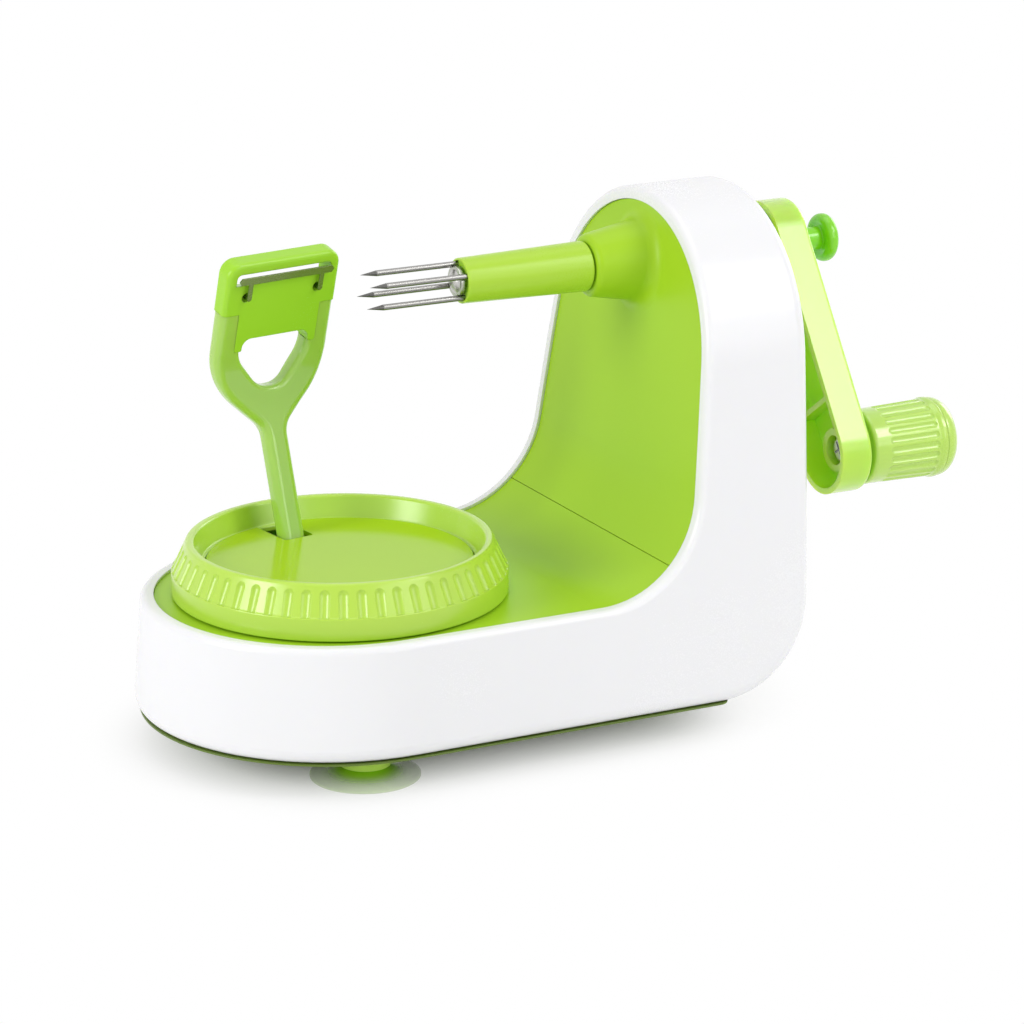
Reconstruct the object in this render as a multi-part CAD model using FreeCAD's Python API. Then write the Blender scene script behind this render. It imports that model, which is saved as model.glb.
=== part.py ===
import FreeCAD, Part
import os
from math import acos, asin, atan2, cos, degrees, hypot, pi, radians, sin, sqrt, tan

# Hand cranked apple peeler. Millimetres, +Z up.
# While the pieces are made, x = y = 0 is the axis of the turntable and z = 0 is the table.
# +X runs from the turntable to the crank. The last step moves the origin under the middle.

V = FreeCAD.Vector
X_AXIS = V(1, 0, 0)
Y_AXIS = V(0, 1, 0)
Z_AXIS = V(0, 0, 1)
FAR = 400.0
ARCH_STEPS = 20

# Stand: suction cups and bottom plate
shell_bottom_z = 10.8
plate_flange_t = 0.5
plate_t = 2.4
plate_edge_inset = 1.6
plate_lip_h = 3.0
plate_lip_t = 1.6
plate_heel_overlap = 3.0
cup_lip_r = 16.2
cup_lip_t = 0.7
cup_hub_r = 7.2
cup_dome_h = 3.5
cup_hollow_h = 1.7
cup_flat_w = 2.2
cup_stem_r = 3.0
cup_barb_r = 4.0
cup_barb_h = 2.2
cup_barb_tip_r = 2.4
neck_r = 7.5
plate_fit_gap = 0.3
screw_boss_h = 2.0
screw_boss_r = 4.8
post_r = 8.0
front_cup_from_front = 52.2
front_cup_inset = 22.0
rear_cup_x = 87.0

# Housing: section across the column, the same section swept round the front
base_half_w = 59.1
front_centre_x = -2.8
arch_r = 49.4
arch_below_axis = 27.7
side_bow = 1.75
wall = 2.8
rim_w = 3.9
rim_round = 2.0
back_round = 4.0

# Housing: side profile of the green panels, heights above the shell's bottom
panel_h = 33.3
column_foot_x = 89.3
column_lean = 6.3
sweep_r = 33.0
recess = 0.8
cover_t = 2.2
cover_gap = 0.15
ledge_w = 1.5
ledge_t = 1.5
seam_angle = 45.0
seam_gap = 0.15
heel_r = 30.0
heel_centre_x = 98.2
back_lean = 2.0

# Fork axis and the boss round it
axis_h = 122.7
boss_front_x = 81.4
boss_front_r = 9.3
boss_base_r = 12.9
boss_edge_r = 2.0
boss_root_r = 4.0
boss_mouth_r = 4.4
boss_wall = 2.4

# Fork
tube_front_x = 39.6
tube_rear_gap = 0.5
tube_front_r = 6.75
tube_rear_r = 7.6
tube_bore_r = 6.1
tube_bore_end_x = 66.0
pin_tip_x = 8.5
pin_r = 0.88
pin_circle_r = 5.15
pin_cone_len = 5.4
pin_first_angle = 63.5
pin_count = 4
holder_setback = 0.6
holder_len = 9.0

# Ejector
rod_r = 1.5
rod_collar_r = 4.4
rod_collar_len = 2.6
ejector_travel = 9.0
ejector_plate_r = 4.6
ejector_plate_t = 1.2
ejector_dome_h = 1.5
ejector_gap = 0.3
ejector_notch_gap = 0.3
knob_r = 7.4
knob_t = 4.6
knob_neck_r = 3.6
knob_slot_gap = 0.3
knob_neck_in = 0.5
knob_edge_r = 1.9
knob_dish_depth = 0.8
rod_gap = 0.08
spring_wire_r = 0.35
spring_coil_r = 3.6
spring_turns = 7
spring_seat_gap = 0.3

# Main shaft and its bushes
shaft_r = 3.5
running_gap = 0.06
bush_wall = 2.4
front_bush_len = 13.0
front_bush_x = 84.0
shaft_collar_r = 6.0
shaft_collar_len = 2.4
rear_boss_r = 9.0
rear_boss_out = 2.6
rear_boss_in = 2.4

# Worm drive at the top of the column
worm_module = 1.2
worm_starts = 2
worm_pitch_r = 5.8
worm_len = 17.0
worm_wheel_teeth = 16
worm_wheel_w = 6.0
pressure_angle = 25.0
worm_backlash = 0.24
cross_shaft_x = 112.9
cross_shaft_r = 2.5
wheel_hub_r = 5.0
shelf_t = 2.5
shelf_gap = 1.0
wheel_end_gap = 0.1
shelf_margin = 5.5
lower_shelf_drop = 9.0

# Gear train in the base
gear_module = 1.25
pinion_teeth = 12
idler_teeth = 56
table_gear_teeth = 60
gear_backlash = 0.16
gear_w = 6.0
gear_h = 19.0
gear_web_t = 2.4
pinion_extra_w = 1.0
pinion_hub_r = 4.2
pinion_hub_h = 3.0
end_gap = 0.1
gear_rim_w = 4.5
post_top_h = 16.4
washer_t = 0.9
idler_pin_r = 3.0
idler_hub_r = 7.0
idler_hub_h = 27.0
ring_groove_depth = 0.6
ring_t = 0.8
ring_r = 5.2
ring_slot_w = 3.4
pin_depth = 10.0
pin_end_h = 1.2
table_pin_r = 4.0
table_hub_r = 12.0
table_hub_low_r = 9.0
dish_hole_r = 6.0
table_step_h = 30.0
table_step_r = 8.0
table_washer_r = 7.0
table_screw_len = 12.0
foot_shelf_h = 13.4
foot_shelf_t = 3.2

# Turntable dish
skirt_r = 49.8
skirt_gap = 0.5
skirt_band_h = 6.8
skirt_wall = 2.0
rim_top_h = 49.6
rim_r = 45.2
rim_inner_r = 43.1
rim_edge_r = 1.0
tray_floor_h = 42.7
tray_ledge_r = 41.0
tray_hole_r = 39.9
tray_ledge_t = 1.5
dish_floor_gap = 0.9
dish_floor_t = 1.5
groove_count = 56
groove_w = 3.0
groove_depth = 0.7
groove_top_gap = 0.9
disc_skirt_r = 34.5
disc_skirt_t = 1.5
disc_gap = 0.4
disc_t = 1.5
disc_proud = 0.8
disc_slot_left = 4.4
disc_slot_right = 5.6
disc_slot_in_r = 22.8

# Peeler arm, made on the +Y side and turned with the dish
arm_turn = 8.7
arm_pivot_r = 25.8
arm_pivot_h = 38.8
arm_lean = 15.96
head_lean = 15.5
arm_bend_r = 40.0
arm_half_t = 3.1
stem_half_w = 3.9
neck_below_head = 43.7
neck_r_inside = 6.5
yoke_half_w = 19.6
yoke_corner_below_head = 28.8
yoke_corner_r = 23.0
yoke_edge_r = 2.4
window_foot_half_w = 4.0
window_below_head = 31.0
window_r = 7.0
window_side_below_head = 20.8
window_side_r = 10.0
window_edge_r = 1.8
foot_hub_r = 2.6
foot_rise = 1.5
foot_side_gap = 0.2
arm_pin_r = 1.2
lug_t = 2.2
lug_inner = 8.2
lug_half_w = 3.0
lug_top_t = 2.2
arm_swing_deg = 20.0

# Peeler head, in its own leaning plane; heights are from the line of the two blade holes
head_below_axis = 3.9
head_ref_r = 32.4
head_half_t = 3.2
head_half_w = 19.5
head_top = 11.1
head_edge_r = 1.4
head_step = -5.6
head_corner_r = 4.5
tongue_half_w = 14.1
tongue_bottom = -14.2
tongue_leg_bottom = -18.2
tongue_leg_in = 11.6
tongue_corner_r = 3.0
peel_slot_half_w = 16.4
peel_slot_low = 4.2
peel_slot_back_low = 1.2
peel_slot_high = 7.8
peel_slot_corner_r = 1.5
ear_hole_x = 12.35
ear_hole_r = 1.55
ear_hole_depth = 4.2
blade_half_len = 16.4
blade_low = 5.1
blade_high = 7.3
blade_point_len = 0.8
blade_t = 0.5
blade_gap = 1.2
ear_half_w = 0.7
ear_drop = 0.2
ear_pin_r = 0.65
ear_pin_len = 3.0

# Torsion spring of the arm
arm_spring_wire_r = 0.3
arm_spring_r = 2.0
arm_spring_turns = 4
arm_spring_pitch = 0.75

# Crank
crank_turn = 35.0
crank_setback = 9.85
crank_depth = 10.5
crank_web_t = 2.4
crank_wall = 1.8
crank_hub_r = 13.5
crank_end_r = 12.8
crank_len = 68.0
crank_edge_r = 1.2
hub_boss_r = 8.4
hub_boss_gap = 0.7
grip_boss_r = 6.6
grip_boss_setback = 4.7
screw_gap = 0.3
crank_rib_t = 1.6
crank_rib_places = (22.0, 53.5)
crank_rib_setback = 3.0
knob_gap = 0.8
set_screw_r = 1.5
set_screw_len = 4.4

# Grip
grip_start_gap = 2.0
grip_len = 30.1
grip_start_r = 11.4
grip_end_r = 11.9
grip_bead_r = 12.3
grip_bead_w = 2.4
grip_core_r = 4.0
grip_flange_r = 7.0
grip_flange_t = 1.6
grip_cap_len = 4.8
grip_cap_r = 12.1
grip_cap_edge_r = 4.0
grip_cap_spigot_len = 3.0
grip_seam_r = 0.4
grip_snap_r = 4.8
grip_snap_w = 2.0
grip_snap_gap = 0.4
grip_hollow_r = 5.4
grip_hollow_len = 5.0
grip_flute_count = 24
grip_flute_r = 1.5
grip_flute_depth = 0.55
grip_flute_start = 6.5
screw_r = 1.45
screw_head_r = 3.6
screw_head_h = 1.8
grip_screw_head_r = 4.2
cross_w = 0.8
cross_depth = 0.9
grip_screw_len = 14.0

# Screws that close the base, and those of the dish
base_screw_r = 1.45
base_screw_head_r = 2.9
base_screw_head_h = 1.9
base_screw_len = 16.0
base_post_r = 4.0
front_post_x = -28.0
front_post_inset = 21.1
rear_post_x = 36.0
rear_post_inset = 13.1
dish_screw_r = 1.0
dish_screw_head_r = 1.9
dish_screw_head_h = 1.1
dish_screw_len = 6.0
dish_screw_circle_r = 10.0
dish_screw_count = 3

# Heights and places that follow from the sizes above
axis_z = shell_bottom_z + axis_h
panel_z = shell_bottom_z + panel_h
plate_bottom_z = shell_bottom_z - plate_flange_t
plate_top_z = plate_bottom_z + plate_t
worm_wheel_r = worm_module * worm_wheel_teeth / 2
cross_shaft_y = worm_pitch_r + worm_wheel_r
arch_centre_h = axis_h - arch_below_axis
head_ref_h = axis_h - head_below_axis
front_cup_y = base_half_w - front_cup_inset
bush_r = shaft_r + running_gap + bush_wall
ejector_front_x = tube_front_x - ejector_gap - ejector_plate_t - ejector_dome_h
bore_front_x = tube_front_x + holder_setback + holder_len
front_end_x = front_centre_x - base_half_w
front_cup_x = front_end_x + front_cup_from_front
base_post_points = (
    (front_post_x, base_half_w - front_post_inset),
    (front_post_x, front_post_inset - base_half_w),
    (rear_post_x, base_half_w - rear_post_inset),
    (rear_post_x, rear_post_inset - base_half_w),
)


def level(height):
    """Height above the shell's bottom, as a z in the table's frame."""
    return shell_bottom_z + height


def cylinder(radius, start, length, axis):
    """Solid cylinder from a start point along an axis."""
    return Part.makeCylinder(radius, length, start, axis)


def shaft_piece(radius, x_start, x_end, y=0.0, z=None):
    """Cylinder along +X; it lies on the fork axis unless a place is given."""
    height = axis_z if z is None else z
    return cylinder(radius, V(x_start, y, height), x_end - x_start, X_AXIS)


def upright(radius, z_start, z_end, x=0.0, y=0.0):
    """Cylinder along +Z between two heights."""
    return cylinder(radius, V(x, y, z_start), z_end - z_start, Z_AXIS)


def block(x_range, y_range, z_range):
    """Rectangular block between pairs of coordinates."""
    size = [pair[1] - pair[0] for pair in (x_range, y_range, z_range)]
    return Part.makeBox(size[0], size[1], size[2], V(x_range[0], y_range[0], z_range[0]))


def fused(shapes):
    """One solid from shapes that touch or overlap."""
    shapes = list(shapes)
    return shapes[0].multiFuse(shapes[1:]).removeSplitter() if len(shapes) > 1 else shapes[0]


def turned(shape, centre, axis, angle):
    """Copy of a shape, turned about an axis."""
    copy = shape.copy()
    copy.rotate(centre, axis, angle)
    return copy


def rounded_wire(corners, closed=True):
    """Wire in the XY plane through (x, y, radius) corners, each rounded by its own radius."""
    count = len(corners)
    pieces = []
    ends = []
    for index, (x, y, radius) in enumerate(corners):
        here = V(x, y, 0)
        inner = closed or 0 < index < count - 1
        if not inner or radius == 0:
            ends.append((here, here))
            continue
        before = V(corners[index - 1][0], corners[index - 1][1], 0)
        following = corners[(index + 1) % count]
        after = V(following[0], following[1], 0)
        back = (before - here).normalize()
        forth = (after - here).normalize()
        half = back.getAngle(forth) / 2
        reach = radius / tan(half)
        start = here + back * reach
        end = here + forth * reach
        middle_way = (back + forth).normalize()
        middle = here + middle_way * (radius / sin(half) - radius)
        pieces.append((index, Part.Arc(start, middle, end).toShape()))
        ends.append((start, end))
    arcs = dict(pieces)
    edges = []
    for index in range(count):
        if index in arcs:
            edges.append(arcs[index])
        if index == count - 1 and not closed:
            break
        start = ends[index][1]
        end = ends[(index + 1) % count][0]
        if start.distanceToPoint(end) > 1e-6:
            edges.append(Part.LineSegment(start, end).toShape())
    return Part.Wire(edges)


def prism_x(corners, x_start, x_end):
    """Prism along X of a rounded outline given in (y, z)."""
    face = Part.Face(rounded_wire(corners))
    face.rotate(V(0, 0, 0), V(1, 1, 1), 120)
    face.translate(V(x_start, 0, 0))
    return face.extrude(V(x_end - x_start, 0, 0))


def prism_y(corners, y_start, y_end):
    """Prism along Y of a rounded outline given in (x, z)."""
    face = Part.Face(rounded_wire(corners))
    face.rotate(V(0, 0, 0), X_AXIS, 90)
    face.translate(V(0, y_start, 0))
    return face.extrude(V(0, y_end - y_start, 0))


def prism_z(corners, z_start, z_end):
    """Prism along Z of a rounded outline given in (x, y)."""
    face = Part.Face(rounded_wire(corners))
    face.translate(V(0, 0, z_start))
    return face.extrude(V(0, 0, z_end - z_start))


def lathe_z(corners, x=0.0, y=0.0):
    """Solid turned about a vertical axis from a rounded outline in (radius, z)."""
    face = Part.Face(rounded_wire(corners))
    face.rotate(V(0, 0, 0), X_AXIS, 90)
    solid = face.revolve(V(0, 0, 0), Z_AXIS, 360)
    solid.translate(V(x, y, 0))
    return solid


def lathe_x(corners, y=0.0, z=None):
    """Solid turned about an axis along X from a rounded outline in (x, radius)."""
    face = Part.Face(rounded_wire(corners))
    solid = face.revolve(V(0, 0, 0), X_AXIS, 360)
    solid.translate(V(0, y, axis_z if z is None else z))
    return solid


# Housing: shapes shared by the shell, the covers and the bottom plate

def bowed_side_angle():
    """Angle of the arch where the side's arc meets it without a corner."""
    angle = side_bow
    for step in range(ARCH_STEPS):
        across_w = base_half_w - arch_r * cos(radians(angle))
        rise = arch_centre_h + arch_r * sin(radians(angle))
        angle = degrees(atan2(across_w, rise)) + side_bow
    return angle


arch_side_angle = bowed_side_angle()


def side_arc():
    """Centre and radius of the long arc of the housing's side, in (y, z)."""
    tilt = radians(arch_side_angle)
    top = V(arch_r * cos(tilt), level(arch_centre_h) + arch_r * sin(tilt), 0)
    outward = V(cos(tilt), sin(tilt), 0)
    chord = V(base_half_w, shell_bottom_z, 0) - top
    radius = -chord.dot(chord) / (2 * chord.dot(outward))
    return top - outward * radius, radius


def half_width(z, inset=0.0):
    """Half of the housing's width at a height below the arch."""
    centre, radius = side_arc()
    return centre.x + sqrt((radius - inset) ** 2 - (z - centre.y) ** 2)


def arc_edge(centre, radius, start, end):
    """Arc between two angles in degrees, in the XY plane."""
    points = []
    for angle in (start, (start + end) / 2, end):
        points.append(centre + V(cos(radians(angle)), sin(radians(angle)), 0) * radius)
    return Part.Arc(points[0], points[1], points[2]).toShape()


def section_edges(inset, z_low):
    """Right side and arch of the housing's section in (y, z), from z_low up to the crown."""
    centre, radius = side_arc()
    low_angle = degrees(asin((z_low - centre.y) / (radius - inset)))
    side = arc_edge(centre, radius - inset, low_angle, arch_side_angle)
    arch = arc_edge(V(0, level(arch_centre_h), 0), arch_r - inset, arch_side_angle, 90)
    return side, arch


def tunnel(inset, z_low):
    """Housing without its side profile: the section along X, turned round the front end."""
    side, arch = section_edges(inset, z_low)
    left = [edge.mirror(V(0, 0, 0), X_AXIS) for edge in (arch, side)]
    low = V(-half_width(z_low, inset), z_low, 0)
    floor = Part.LineSegment(low, V(half_width(z_low, inset), z_low, 0)).toShape()
    outline = Part.Wire(Part.__sortEdges__([floor, side, arch, left[0], left[1]]))
    face = Part.Face(outline)
    face.rotate(V(0, 0, 0), V(1, 1, 1), 120)
    face.translate(V(front_centre_x, 0, 0))
    straight = face.extrude(V(FAR, 0, 0))
    z_high = level(panel_h + sweep_r / 2)
    centre, radius = side_arc()
    high_angle = degrees(asin((z_high - centre.y) / (radius - inset)))
    low_angle = degrees(asin((z_low - centre.y) / (radius - inset)))
    nose_side = arc_edge(centre, radius - inset, low_angle, high_angle)
    low_point = V(half_width(z_low, inset), z_low, 0)
    high_point = V(half_width(z_high, inset), z_high, 0)
    nose_wire = Part.Wire(Part.__sortEdges__([
        nose_side,
        Part.LineSegment(high_point, V(0, z_high, 0)).toShape(),
        Part.LineSegment(V(0, z_high, 0), V(0, z_low, 0)).toShape(),
        Part.LineSegment(V(0, z_low, 0), low_point).toShape(),
    ]))
    nose_face = Part.Face(nose_wire)
    nose_face.rotate(V(0, 0, 0), X_AXIS, 90)
    nose_face.rotate(V(0, 0, 0), Z_AXIS, 90)
    nose = nose_face.revolve(V(0, 0, 0), Z_AXIS, 180)
    nose.translate(V(front_centre_x, 0, 0))
    return straight, nose


def sweep_centre():
    """Centre of the concave sweep between the base and the column, in (x, z)."""
    lean = radians(column_lean)
    x = column_foot_x + sweep_r * tan(lean) - sweep_r / cos(lean)
    return V(x, panel_z + sweep_r, 0)


def heel_centre():
    """Centre of the round heel, in (x, z)."""
    return V(heel_centre_x, shell_bottom_z + heel_r, 0)


def column_face_x(z, depth=0.0):
    """x of the column's front at a height above the sweep, at a depth below the panel's face."""
    lean = radians(column_lean)
    return column_foot_x + (z - panel_z) * tan(lean) + depth / cos(lean)


def back_face_x(z, inset=0.0):
    """x of the housing's back at a height, at a depth below its surface."""
    lean = radians(back_lean)
    centre = heel_centre()
    return centre.x + (heel_r - inset) / cos(lean) + (z - centre.y) * tan(lean)


crank_inner_x = back_face_x(axis_z) + crank_setback
crank_outer_x = crank_inner_x + crank_depth
grip_end_x = crank_outer_x + grip_start_gap + grip_len
origin_x = (front_end_x + grip_end_x) / 2


def side_region(depth, back_inset, open_front=False, open_bottom=False):
    """Face in (x, z) of the body behind the front profile and before the back."""
    lean = radians(column_lean)
    tilt = radians(back_lean)
    heel = heel_centre()
    up = V(sin(tilt), cos(tilt), 0)
    heel_top = heel + V(cos(tilt), -sin(tilt), 0) * (heel_r - back_inset)
    heel_foot = heel - V(0, heel_r - back_inset, 0)
    far_back = heel_top + up * FAR
    edges = [
        arc_edge(heel, heel_r - back_inset, -90, -back_lean),
        Part.LineSegment(heel_top, far_back).toShape(),
    ]
    bottom_z = shell_bottom_z - FAR / 10 if open_bottom else heel_foot.y
    bottom_far = V(-FAR, bottom_z, 0)
    if open_bottom:
        bottom_near = V(heel_foot.x, bottom_z, 0)
        edges.append(Part.LineSegment(bottom_near, heel_foot).toShape())
    else:
        bottom_near = heel_foot
    edges.append(Part.LineSegment(bottom_far, bottom_near).toShape())
    if open_front:
        far_front = V(-FAR, far_back.y, 0)
        edges.append(Part.LineSegment(far_back, far_front).toShape())
        edges.append(Part.LineSegment(far_front, bottom_far).toShape())
    else:
        centre = sweep_centre()
        radius = sweep_r + depth
        foot = centre - V(0, radius, 0)
        top = centre + V(cos(lean), -sin(lean), 0) * radius
        far_top = top + V(sin(lean), cos(lean), 0) * FAR
        far_foot = V(-FAR, foot.y, 0)
        edges.append(Part.LineSegment(far_back, far_top).toShape())
        edges.append(Part.LineSegment(far_top, top).toShape())
        edges.append(arc_edge(centre, radius, -90, -column_lean))
        edges.append(Part.LineSegment(foot, far_foot).toShape())
        edges.append(Part.LineSegment(far_foot, bottom_far).toShape())
    return Part.Face(Part.Wire(Part.__sortEdges__(edges)))


def across(face):
    """Solid of a face in (x, z), wider than the housing."""
    copy = face.copy()
    copy.rotate(V(0, 0, 0), X_AXIS, 90)
    copy.translate(V(0, FAR / 2, 0))
    return copy.extrude(V(0, -FAR, 0))


def body(inset, profile, z_low=0.0):
    """Housing body: the tunnel at an inset, cut by a side profile."""
    straight, nose = tunnel(inset, z_low)
    cutter = across(profile)
    return straight.common(cutter).fuse(nose.common(cutter)).removeSplitter()


def edges_where(shape, test):
    """Edges of a shape whose bounding box passes a test."""
    return [edge for edge in shape.Edges if test(edge.BoundBox)]


def seam_side(below):
    """Wedge of the covers below or above the cross seam."""
    centre = sweep_centre()
    tilt = radians(-seam_angle)
    along = V(cos(tilt), sin(tilt), 0) * FAR
    shift = V(sin(tilt), -cos(tilt), 0) * (seam_gap / 2)
    if not below:
        shift = shift * -1
    start = centre + shift
    end = start + along
    side_z = -FAR if below else FAR
    corners = [start, end, V(end.x, side_z, 0)]
    corners.append(V(-FAR if below else start.x, side_z, 0))
    if below:
        corners.append(V(-FAR, start.y, 0))
    return prism_y([(point.x, point.y, 0) for point in corners], -FAR, FAR)


def cover_band():
    """Both covers in one piece: the band of the panels between the shell's walls."""
    inset = rim_w + cover_gap
    outer_part = body(inset, side_region(0.0, inset, open_bottom=True))
    inner_part = across(side_region(cover_t, -FAR / 10, open_bottom=True))
    return outer_part.cut(inner_part)


cup_places = (
    ("left", front_cup_x, front_cup_y),
    ("right", front_cup_x, -front_cup_y),
    ("rear", rear_cup_x, 0.0),
)


def idler_place():
    """Centre of the idler: it meets the turntable gear and the pinion at their pitch circles."""
    first = gear_module * (table_gear_teeth + idler_teeth) / 2
    second = gear_module * (idler_teeth + pinion_teeth) / 2
    apart = hypot(cross_shaft_x, cross_shaft_y)
    along = (first ** 2 - second ** 2 + apart ** 2) / (2 * apart)
    aside = sqrt(first ** 2 - along ** 2)
    forward = V(cross_shaft_x, cross_shaft_y, 0) / apart
    sideways = V(forward.y, -forward.x, 0)
    return forward * along + sideways * aside


# General shapes

def screw(radius, length, head_r, head_h):
    """Cross-head screw along Z: the shank below zero, the rounded head above it."""
    head = lathe_z([
        (0, 0, 0),
        (head_r, 0, 0),
        (head_r, head_h, head_h * 0.7),
        (0, head_h, 0),
    ])
    tip = radius / 2
    shank = lathe_z([
        (0, -length, 0),
        (tip, -length, 0),
        (radius, -length + radius, 0),
        (radius, 0, 0),
        (0, 0, 0),
    ])
    arm = head_r * 0.62
    recess_z = (head_h - cross_depth, head_h + 1)
    one = block((-arm, arm), (-cross_w / 2, cross_w / 2), recess_z)
    other = block((-cross_w / 2, cross_w / 2), (-arm, arm), recess_z)
    return fused([head, shank]).cut(one).cut(other)


def arc_from(start, tangent, end):
    """Arc from a point along a tangent to another point."""
    chord = end - start
    half = chord.Length / 2
    way = V(chord).normalize()
    aside = (tangent - way * tangent.dot(way)).normalize()
    height = half * tan(tangent.getAngle(chord) / 2)
    return Part.Arc(start, (start + end) / 2 + aside * height, end).toShape()


def biarc(start, start_way, end, end_way):
    """Two arcs with a common tangent between two points with given directions."""
    chord = end - start
    ways = start_way + end_way
    square = 2 * (1 - start_way.dot(end_way))
    along = chord.dot(ways)
    reach = (sqrt(along ** 2 + square * chord.dot(chord)) - along) / square
    middle = (start + start_way * reach + end - end_way * reach) / 2
    middle_way = (end - end_way * reach - start - start_way * reach).normalize()
    return [arc_from(start, start_way, middle), arc_from(middle, middle_way, end)]


def coil(mean_r, wire_r, pitch, turns):
    """Spring of round wire along Z, from zero upwards, on arcs of an eighth of a turn."""
    points = []
    ways = []
    for index in range(4 * turns + 1):
        angle = pi / 2 * index
        points.append(V(mean_r * cos(angle), mean_r * sin(angle), pitch * index / 4))
        way = V(-mean_r * sin(angle), mean_r * cos(angle), pitch / (2 * pi))
        ways.append(way.normalize())
    edges = []
    for index in range(4 * turns):
        edges += biarc(points[index], ways[index], points[index + 1], ways[index + 1])
    ring = Part.Wire(Part.makeCircle(wire_r, points[0], ways[0]))
    return Part.Wire(edges).makePipeShell([ring], True, False)


def spread(shape, count, centre, axis, first=0.0):
    """Copies of a shape at even angles about an axis."""
    return [turned(shape, centre, axis, first + 360.0 * index / count) for index in range(count)]


def axis_point(x=0.0):
    """Point of the fork axis."""
    return V(x, 0, axis_z)


# Gears

def involute(angle):
    """Involute function of an angle in radians."""
    return tan(angle) - angle


def tooth_half_angle(module, teeth, backlash, radius):
    """Half of a tooth's angle at a radius, on a gear with involute flanks."""
    pitch_r = module * teeth / 2
    alpha = radians(pressure_angle)
    base_r = pitch_r * cos(alpha)
    at_pitch = (pi * module - backlash) / (4 * pitch_r)
    return at_pitch + involute(alpha) - involute(acos(min(1.0, base_r / radius)))


def gear_wire(module, teeth, backlash, first_tooth, z=0.0):
    """Closed outline of a spur gear; the first tooth is centred on an angle in degrees."""
    pitch_r = module * teeth / 2
    base_r = pitch_r * cos(radians(pressure_angle))
    tip_r = pitch_r + module
    root_r = pitch_r - 1.25 * module
    low_r = max(base_r, root_r)
    steps = 3
    flank = [(low_r + (tip_r - low_r) * step / steps) for step in range(steps + 1)]
    side = [(radius, tooth_half_angle(module, teeth, backlash, radius)) for radius in flank]
    if root_r < low_r:
        side.insert(0, (root_r, side[0][1]))
    points = []
    for tooth in range(teeth):
        middle = radians(first_tooth) + 2 * pi * tooth / teeth
        for radius, half in side:
            points.append(V(radius * cos(middle - half), radius * sin(middle - half), z))
        for radius, half in reversed(side):
            points.append(V(radius * cos(middle + half), radius * sin(middle + half), z))
    points.append(points[0])
    return Part.makePolygon(points)


def spur_gear(module, teeth, first_tooth, z_start, z_end):
    """Toothed disc on the Z axis between two heights."""
    face = Part.Face(gear_wire(module, teeth, gear_backlash, first_tooth, z_start))
    return face.extrude(V(0, 0, z_end - z_start))


def root_radius(teeth):
    """Radius at the bottom of the teeth of the base gears."""
    return gear_module * (teeth / 2 - 1.25)


def next_phase(first_tooth, teeth, next_teeth, direction):
    """Angle of a tooth of a gear that meets another in a direction, both in degrees."""
    share = (direction - first_tooth) * teeth / 360.0
    return direction + 180.0 - (0.5 - share) * 360.0 / next_teeth


def direction_to(start, end):
    """Direction from one point to another, in degrees about Z."""
    return degrees(atan2(end.y - start.y, end.x - start.x))


def base_gear_phases():
    """First teeth of the turntable gear, the idler and the pinion, so that all mesh at rest."""
    idler = idler_place()
    pinion = V(cross_shaft_x, cross_shaft_y, 0)
    idler_first = next_phase(0.0, table_gear_teeth, idler_teeth, direction_to(V(0, 0, 0), idler))
    to_pinion = direction_to(idler, pinion)
    return 0.0, idler_first, next_phase(idler_first, idler_teeth, pinion_teeth, to_pinion)


def webbed_gear(teeth, first_tooth, hub_r, hub_low, hub_high):
    """Base gear with a rim, a thin web and a hub, on the Z axis."""
    low = level(gear_h)
    high = low + gear_w
    middle = (low + high) / 2
    gear = spur_gear(gear_module, teeth, first_tooth, low, high)
    rim_in_r = root_radius(teeth) - gear_rim_w
    gear = gear.cut(upright(rim_in_r, low - 1, middle - gear_web_t / 2))
    gear = gear.cut(upright(rim_in_r, middle + gear_web_t / 2, high + 1))
    return fused([gear, upright(hub_r, hub_low, hub_high)])


# Housing pieces

def shelf_at(height, thickness):
    """Shelf for the vertical shaft, from the column cover's inside to behind the shaft."""
    low = level(height)
    shelf = block(
        (boss_front_x, cross_shaft_x + shelf_margin),
        (cross_shaft_y - shelf_margin, cross_shaft_y + shelf_margin),
        (low, low + thickness),
    )
    return shelf.common(across(side_region(cover_t / 2, -FAR / 10)))


upper_shelf_h = axis_h + worm_wheel_w / 2 + shelf_gap
lower_shelf_h = axis_h - lower_shelf_drop - shelf_t


def on_front_rim(box):
    """Edges between the shell's sides and its front profile."""
    seam_z = level(panel_h + recess)
    if abs(box.ZMin - seam_z) < 0.01 and abs(box.ZMax - seam_z) < 0.01:
        return box.YMax - box.YMin < 2 * base_half_w + 1 and box.XMax < sweep_centre().x + 0.1
    along_front = box.XMax < column_face_x(level(arch_centre_h + arch_r)) + 1
    return box.ZMin > seam_z - 0.01 and along_front


def on_back_edge(box):
    """Edges between the shell's sides and its back and heel."""
    behind = box.XMin > heel_centre_x - 0.1 and box.XMax > heel_centre_x + heel_r / 2
    return behind and box.DiagonalLength > heel_r and box.YMax - box.YMin < base_half_w


def shell_outside():
    """Outer form of the housing with its rounded rims."""
    outer = body(0.0, side_region(-recess, 0.0), shell_bottom_z - recess)
    outer = outer.makeFillet(rim_round, front_rim_edges(outer))
    return outer.makeFillet(back_round, edges_where(outer, on_back_edge))


def front_rim_edges(outer):
    """Edges of the front profile that lie on the housing's sides."""
    chosen = []
    for edge in edges_where(outer, on_front_rim):
        middle = edge.valueAt((edge.FirstParameter + edge.LastParameter) / 2)
        under_arch = middle.x > front_end_x + 1 and middle.z < level(arch_centre_h)
        crosses = abs(middle.y) < 0.01 and under_arch
        box = edge.BoundBox
        flat_cross = box.XMax - box.XMin < 0.01 and box.ZMax - box.ZMin < 0.01
        if not crosses and not flat_cross:
            chosen.append(edge)
    return chosen


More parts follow.
